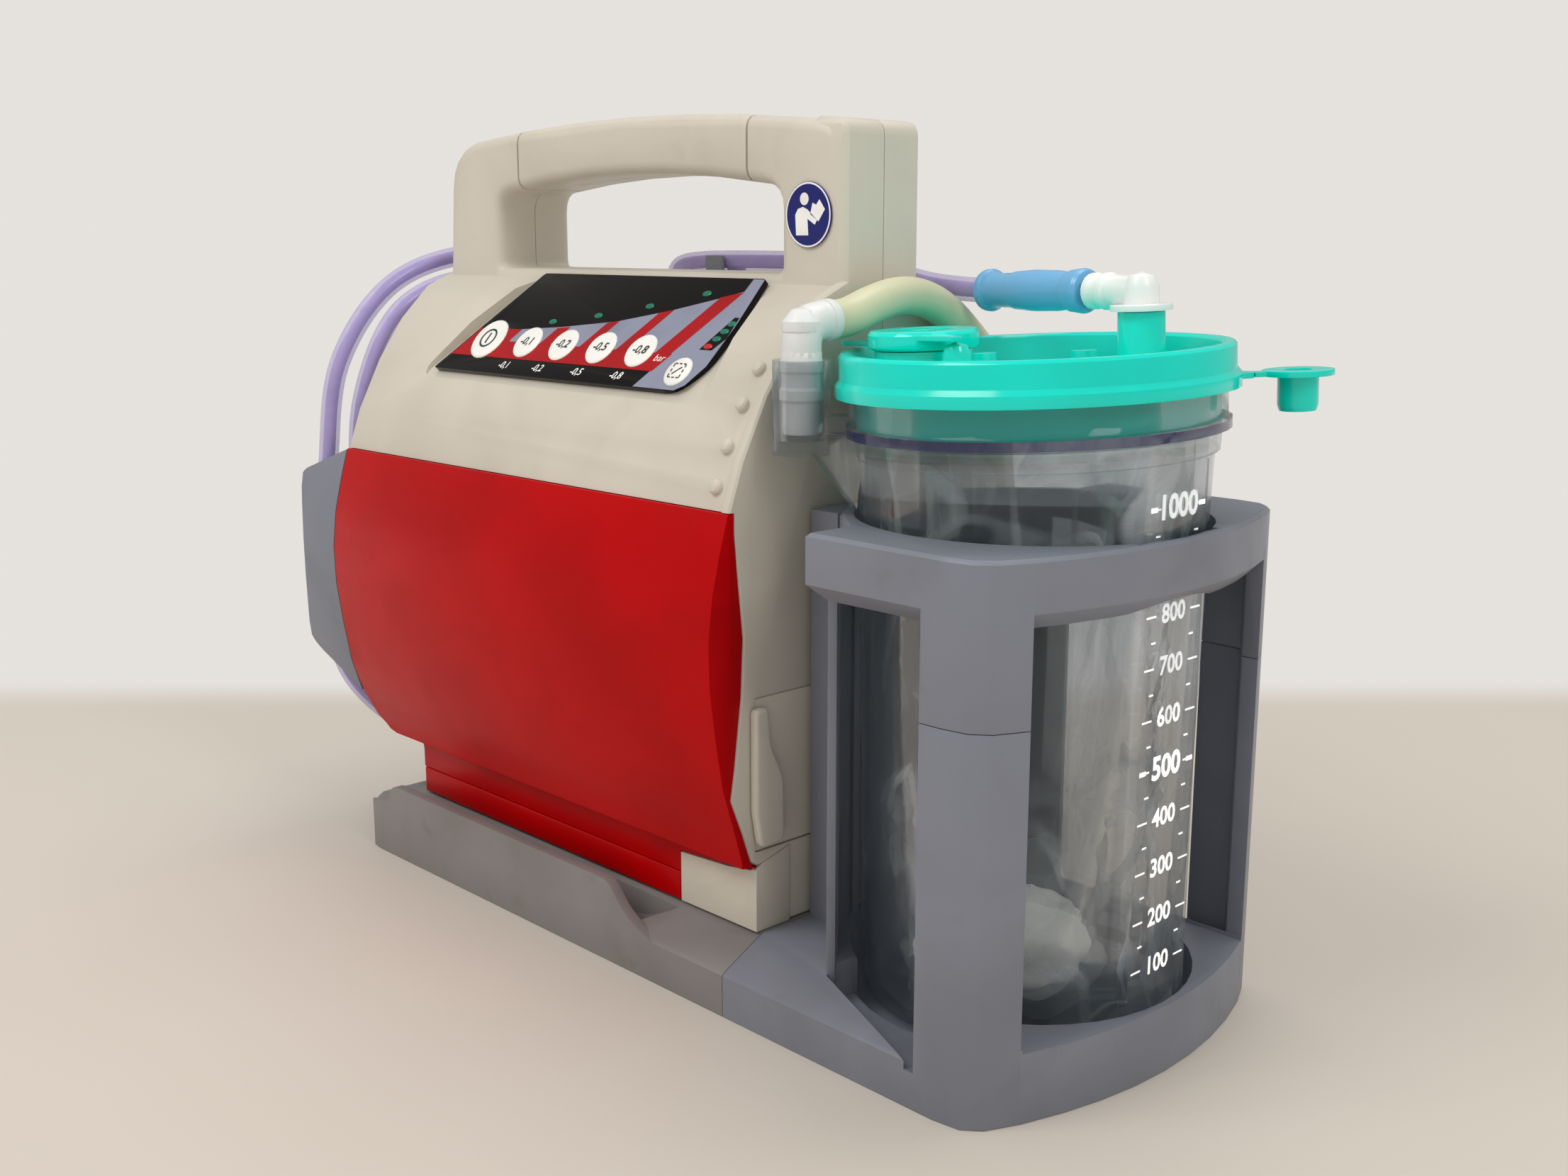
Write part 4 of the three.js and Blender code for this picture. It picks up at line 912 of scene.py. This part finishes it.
@dataclass
class Canister(Assembly):
    """The clear canister with its scale, liner and sachet."""

    axis_x: float = 121 * MM
    strip_face: float = 175.66 * MM
    first_mark: float = 35 * MM  # height of the first hundred
    pitch: float = 16.22 * MM
    liner_radius: float = 50.4 * MM

    def build(self) -> None:
        """Canister, figures, liner and sachet."""
        self.shell()
        self.scale()
        self.liner()
        self.sachet()

    def shell(self) -> None:
        """The clear shell, with its tinted rim."""
        made = refined("canister", Finish.CANISTER, 0.0, 28)
        made.data.materials.append(Finish.RIM.made())
        for face in made.data.polygons:
            c = face.center
            reach = math.hypot(c.x - self.axis_x, c.y)
            level = c.z - 0.0436 * ((c.x - self.axis_x) * 0.6904 + c.y * 0.7234)
            if reach > 60.6 * MM and 199.9 * MM < level < 203.4 * MM:
                face.material_index = 1
        self.keep(made, slot="clear_plastic", stands_for=["canister"])

    def scale(self) -> None:
        """White figures and ticks on the flat strip."""
        plane = axes((self.strip_face, 0, 0), (0, 1, 0), (0, 0, 1))
        for n in range(1, 11):
            bold = n in (5, 10)
            z = self.first_mark + (n - 1) * self.pitch
            place = plane @ Matrix.Translation((0, z, 0.04 * MM))
            text = lettering(f"mark_{n}00", f"{n}00", (7.2 if bold else 5.8) * MM, Finish.SCALE, place, 0.0,
                             (0.34 if bold else 0.2) * MM)
            self.keep(text, slot="clear_plastic")
        row = Row()
        thin, thick = 0.6 * MM, 1.5 * MM
        for side, edge in (("left", -11.6), ("right", 11.6)):
            start = (edge * MM, self.first_mark, 0.04 * MM)
            made = row.lay(f"long_ticks_{side}", Finish.SCALE, 10, start, (0, self.pitch, 0),
                           (5 * MM, thin, 0.04 * MM), plane)
            self.keep(made, slot="clear_plastic")
            start = (edge * 1.08 * MM, self.first_mark + 4 * self.pitch, 0.06 * MM)
            made = row.lay(f"bold_ticks_{side}", Finish.SCALE, 2, start, (0, 5 * self.pitch, 0),
                           (3.4 * MM, thick, 0.04 * MM), plane)
            self.keep(made, slot="clear_plastic")
            start = (edge * 0.86 * MM, self.first_mark + self.pitch / 2, 0.04 * MM)
            made = row.lay(f"short_ticks_{side}", Finish.SCALE, 9, start, (0, self.pitch, 0),
                           (2.2 * MM, thin, 0.04 * MM), plane)
            self.keep(made, slot="clear_plastic")

    def liner_at(self, angle: float, share: float) -> float:
        """The crumpled film's radius.

        Args:
            angle: The way round the bag, in radians.
            share: The share of its height, from the bottom.

        Returns:
            The radius in metres.
        """
        hang = noise.noise(Vector((math.cos(angle) * 2.1, math.sin(angle) * 2.1, share * 1.3 + 3.1)))
        fold = noise.noise(Vector((math.cos(angle + share) * 5.0, math.sin(angle + share) * 5.0, share * 2.2)))
        twist = angle - share * 1.4
        crease = abs(noise.noise(Vector((math.cos(twist) * 9, math.sin(twist) * 9, share * 5))))
        slack = math.sin(math.pi * min(1.0, share * 1.05)) ** 0.7
        gather = 0.78 + 0.22 * min(1.0, share / 0.35)
        return self.liner_radius * gather - slack * (5.0 + 9.0 * hang + 5.0 * fold + 5.0 * crease) * MM

    def liner(self) -> None:
        """A thin crumpled bag that hangs from the lid."""
        sides, rows = 144, 96
        low, high = 12.6 * MM, 197 * MM
        profile_verts: list[Vector] = []
        faces: list[list[int]] = []
        for n in range(rows):
            share = n / (rows - 1)
            z = low + (high - low) * share
            for i in range(sides):
                a = 2 * math.pi * i / sides
                r = min(self.liner_at(a, share), self.liner_radius)
                profile_verts.append(Vector((self.axis_x + r * math.cos(a), r * math.sin(a), z)))
            if n:
                for i in range(sides):
                    j = (i + 1) % sides
                    faces.append([(n - 1) * sides + i, (n - 1) * sides + j, n * sides + j, n * sides + i])
        faces.append(list(reversed(range(sides))))
        made = mesh_object("liner_film_bag", profile_verts, faces, Finish.FILM)
        self.keep(made, slot="liner_film", stands_for=["liner_bag"])

    def sachet(self) -> None:
        """A soft white pouch that lies at the bottom of the liner."""
        centre = Vector((131, -22, 33)) * MM
        right, depth = Vector((0.6905, 0.7233, 0)), Vector((-0.7233, 0.6905, 0))
        profile = [(math.sin(math.pi * n / 40), -math.cos(math.pi * n / 40)) for n in range(41)]
        profile[0], profile[-1] = (0.0, -1.0), (0.0, 1.0)
        verts, faces = turned(profile, 72)
        placed = []
        for v in verts:
            lump = noise.noise(v * 2.1 + Vector((4, 1, 2))) * 0.16 + noise.noise(v * 5.5) * 0.06
            v = v * (1 + lump)
            pinch = 1 - 0.16 * math.exp(-((v.x - 0.1) / 0.16) ** 2)
            spot = centre + right * (v.x * 27 * MM) + depth * (v.y * 14 * MM * pinch)
            placed.append(spot + Vector((0, 0, max(-20.0, v.z * 20 * pinch + v.x * 3) * MM)))
        made = mesh_object("sachet_pouch", placed, faces, Finish.SACHET)
        made.data.shade_smooth()
        self.keep(made, slot="sachet_paper", stands_for=["gel_sachet"])


@dataclass
class Lid(Assembly):
    """The snap-on lid with its cap and spare plug."""

    def build(self) -> None:
        """Lid, cap and plug."""
        self.refine(Finish.LID, "turquoise_plastic", 0.35 * MM, "lid")
        self.refine(Finish.LID, "turquoise_plastic", 0.35 * MM, "gel_cap", body="gel_cap")
        self.refine(Finish.LID, "turquoise_plastic", 0.35 * MM, "port_plug", body="port_plug")


@dataclass
class Plumbing(Assembly):
    """Elbows, connectors, the vacuum hose and the suction tube."""

    port: tuple[float, float, float] = (61, 52.5, 203)
    port_way: tuple[float, float, float] = (0, -0.5, 1)
    hose_radius: float = 6.3 * MM
    tube_radius: float = 4.3 * MM
    arm: tuple[float, float, float] = (-1, 0.17, -0.02)  # the way the suction tube leaves the lid
    sleeve_reach: tuple[float, float] = (14.0, -35.6)  # its ends, from the tube's start along the arm
    sleeve_shape: Points = ((0, 6.4), (0.015, 7.2), (0.06, 7.3), (0.08, 6.3), (0.13, 5.8), (0.25, 5.9), (0.34, 6.5),
                            (0.5, 6.9), (0.7, 6.7), (0.83, 6.2), (0.87, 6.9), (0.97, 7.3), (1, 6.6))

    def build(self) -> None:
        """Every fitting and both cords."""
        self.refine(Finish.GREY, "grey_plastic", 0.25 * MM, "vacuum_elbow", "inlet_port")
        self.refine(Finish.WHITE, "white_plastic", 0.25 * MM, "patient_elbow")
        self.sleeve()
        tip = refined("fingertip_connector", Finish.CANISTER, 0.2 * MM)
        self.keep(tip, slot="clear_plastic", stands_for=["fingertip_connector"])
        self.hose()
        self.tube(tip)

    def sleeve(self) -> None:
        """The soft blue sleeve between the suction tube and the lid's elbow."""
        way = Vector(self.arm).normalized()
        near, far = (Vector(TUBE_ROUTE[0]) + way * d for d in self.sleeve_reach)
        line = [near.lerp(far, n / 90) * MM for n in range(91)]

        def radius(share: float) -> float:
            """The sleeve's radius at a share of its length."""
            for (a, low), (b, high) in zip(self.sleeve_shape, self.sleeve_shape[1:]):
                if share <= b:
                    t = (share - a) / (b - a)
                    return (low + (high - low) * t * t * (3 - 2 * t)) * MM
            return self.sleeve_shape[-1][1] * MM

        verts, faces = swept(line, radius, 40)
        made = mesh_object("tube_sleeve", verts, faces, Finish.BLUE)
        self.keep(made, slot="blue_pvc", stands_for=["tube_connector"])

    def on_port(self, d: float) -> tuple[float, float, float]:
        """A point d millimetres up the port's spigot."""
        way = Vector(self.port_way).normalized()
        return tuple(Vector(self.port) + way * d)

    def hose(self) -> None:
        """The milky hose from the grey elbow to the port."""
        points = [(68.6, -40, 233.5), (68.6, -33, 234.2), (67.6, -20, 237.8), (65.6, -6, 240.2), (63.4, 8, 239.6),
                  (61.6, 22, 235.2), (60.9, 34, 227.6), self.on_port(16), self.on_port(6)]
        line = smooth_line([Vector(p) * MM for p in points], 1.2 * MM)
        verts, faces = swept(line, self.hose_radius, 40)
        made = mesh_object("vacuum_hose_look", verts, faces, Finish.SILICONE)
        length_of(line)
        self.keep(made, slot="silicone", stands_for=["vacuum_hose"])

    def tube(self, tip: bpy.types.Object) -> None:
        """The long suction tube, put away in loops round the pump's end."""
        points = [Vector(p) for p in TUBE_ROUTE]
        line = smooth_line([p * MM for p in points], 2.0 * MM)
        verts, faces = swept(line, self.tube_radius, 20)
        made = mesh_object("suction_tube_look", verts, faces, Finish.TUBE)
        inner_verts, inner_faces = swept(line[1:-1], self.tube_radius * 0.62, 12)
        bore = mesh_object("suction_tube_bore", inner_verts, inner_faces, Finish.BORE)
        length_of(line)
        self.keep(made, slot="tube_pvc", stands_for=["suction_tube"])
        self.keep(bore, slot="tube_pvc")


@dataclass
class Drive(Assembly):
    """What works inside the closed casing."""

    def build(self) -> None:
        """Gives the hidden pieces their finishes."""
        self.dress(Finish.MOTOR, "pump_motor")
        self.dress(Finish.STEEL, "motor_shaft")
        self.dress(Finish.PUMP, "pump_head")
        self.dress(Finish.BATTERY, "battery_pack")
        self.dress(Finish.BOARD, "circuit_board")
        self.dress(Finish.WHITE, "exhaust_muffler")
        self.dress(Finish.SILICONE, "inner_hose")


@dataclass
class Studio:
    """Floor, light and camera."""

    eye: tuple[float, float, float] = (0.453895, -0.428516, 0.259763)
    tilt: float = 78.21
    heading: float = 46.33
    lens: float = 38.65
    wall_distance: float = 0.93  # where the floor turns into the pale background
    fade: tuple[float, float] = (0.9, 2.4)  # where it pales all round, from the object's middle
    floor_half: float = 6.0
    floor_drop: float = 0.2 * MM  # keeps the floor clear of the feet
    paper: Colour = (237, 233, 229)
    ambient: float = 0.86
    mirrored: float = 0.46
    backdrop: float = 0.93

    def build(self) -> None:
        """Sets up everything round the object."""
        self.floor()
        self.lights()
        self.camera()

    def floor(self) -> None:
        """A plain floor that pales into the background."""
        s = Surface("studio_floor")
        heading = math.radians(self.heading)
        ahead = Vector((-math.sin(heading), math.cos(heading), 0))
        edge = Vector((self.eye[0], self.eye[1], 0)) + ahead * self.wall_distance
        where = s.place(centre=edge, turn=(0, 0, heading))
        parts = s.node("ShaderNodeSeparateXYZ", {}, {0: where})
        across = s.node("ShaderNodeVectorMath", {"operation": "LENGTH"}, {0: s.place()})
        far = Val(s, parts.outputs[1]).smooth(-0.02, 0.05) + Val(s, across.outputs["Value"]).smooth(*self.fade)
        cloud = s.noise(s.place(), 5, 3.0)
        near = s.blend(cloud, ink(206, 199, 190), ink(198, 191, 181))
        s.set(Base_Color=near, Roughness=(cloud - 0.5) * 0.1 + 0.62)
        glow = s.node("ShaderNodeEmission", {}, {0: ink(*self.paper), 1: self.backdrop})
        both = s.node("ShaderNodeMixShader", {}, {0: far, 1: s.shader.outputs[0], 2: glow.outputs[0]})
        s.tree.links.new(both.outputs[0], s.tree.nodes["Material Output"].inputs[0])
        size = self.floor_half
        verts = [(x, y, -self.floor_drop) for x, y in ((-size, -size), (size, -size), (size, size), (-size, size))]
        data = bpy.data.meshes.new("studio_floor")
        data.from_pydata(verts, [], [(0, 1, 2, 3)])
        data.materials.append(s.material)
        made = bpy.data.objects.new("studio_floor", data)
        bpy.context.scene.collection.objects.link(made)

    def lights(self) -> None:
        """An even surround and three large soft panels."""
        world = bpy.data.worlds.new("surround")
        world.use_nodes = True
        tree = world.node_tree
        tree.nodes["Background"].inputs["Color"].default_value = ink(*self.paper)
        ray = tree.nodes.new("ShaderNodeLightPath")
        level = tree.nodes.new("ShaderNodeMapRange")
        level.inputs["To Max"].default_value = self.backdrop
        dim = tree.nodes.new("ShaderNodeMapRange")
        dim.inputs["To Min"].default_value, dim.inputs["To Max"].default_value = self.ambient, self.mirrored
        tree.links.new(ray.outputs["Is Glossy Ray"], dim.inputs["Value"])
        tree.links.new(dim.outputs[0], level.inputs["To Min"])
        tree.links.new(ray.outputs["Is Camera Ray"], level.inputs["Value"])
        tree.links.new(level.outputs[0], tree.nodes["Background"].inputs["Strength"])
        bpy.context.scene.world = world
        for name, spot, size, power in (("key_light", (-0.3, -1.1, 1.5), 0.8, 11.0),
                                        ("side_light", (1.5, -0.2, 1.3), 0.5, 6.0),
                                        ("top_light", (0.1, 0.5, 1.8), 0.9, 7.0)):
            data = bpy.data.lights.new(name, "AREA")
            data.size, data.energy, data.color = size, power, (1.0, 0.985, 0.96)
            made = bpy.data.objects.new(name, data)
            made.location = spot
            made.rotation_euler = (Vector((0, 0, 0.12)) - Vector(spot)).to_track_quat("-Z", "Y").to_euler()
            bpy.context.scene.collection.objects.link(made)

    def camera(self) -> None:
        """A camera at the usual viewing angle."""
        data = bpy.data.cameras.new("camera")
        data.lens, data.sensor_width = self.lens, 36.0
        made = bpy.data.objects.new("camera", data)
        made.location = self.eye
        made.rotation_euler = (math.radians(self.tilt), 0, math.radians(self.heading))
        bpy.context.scene.collection.objects.link(made)
        bpy.context.scene.camera = made
        bpy.context.scene.view_settings.view_transform = "Standard"


def length_of(line: Sequence[Vector]) -> float:
    """The length of a line of points."""
    return sum((b - a).length for a, b in zip(line, line[1:]))


TUBE_ROUTE: list[tuple[float, float, float]] = [
    (86.72, 30.71, 241.85), (77.85, 32.22, 241.67), (68.98, 33.73, 241.49),
    (44, 35.6, 243), (18, 29.6, 249), (-6, 28, 250), (-38, 28, 250.2), (-58, 28, 250.1), (-72, 29, 249.8),
    (-98, 38, 247), (-116, 52, 238), (-128, 68, 221), (-136, 81, 192), (-140, 86, 158), (-142, 87.4, 120),
    (-145, 84, 84), (-150, 79, 62), (-160, 72, 46), (-168, 54, 37), (-177, 20, 33.6), (-186, -16, 35),
    (-198, -44, 44), (-211, -62, 66), (-216, -68.2, 96), (-216.2, -68.4, 126), (-215.8, -65.6, 164),
    (-215, -58, 206), (-212, -34, 238), (-207, -4, 250.6), (-198, 26, 250), (-186, 52, 236), (-175, 74, 208),
    (-168, 90, 172), (-166, 96, 130), (-168, 93, 88), (-176, 78, 54), (-190, 50, 37), (-203, 10, 34),
    (-208, -24, 42), (-206, -46, 62), (-206.6, -55, 96), (-206.8, -56, 140), (-206, -53, 190), (-203, -34, 228),
    (-199, -4, 240.6), (-196.4, 30, 231), (-196, 56, 204), (-194, 76, 164), (-196, 84, 118), (-205, 76, 78),
    (-216, 50, 55), (-220, 18, 52), (-216, -12, 58), (-209, -32, 78), (-206, -38, 104),
]


def main() -> None:
    """Builds the studio and every sub-assembly."""
    logging.basicConfig(level=logging.INFO, format="%(message)s")
    Studio().build()
    for group in (Plumbing(), Casing(), Panel(), Holder(), Canister(), Lid(), Drive()):
        group.build()


if __name__ == "__main__":
    main()
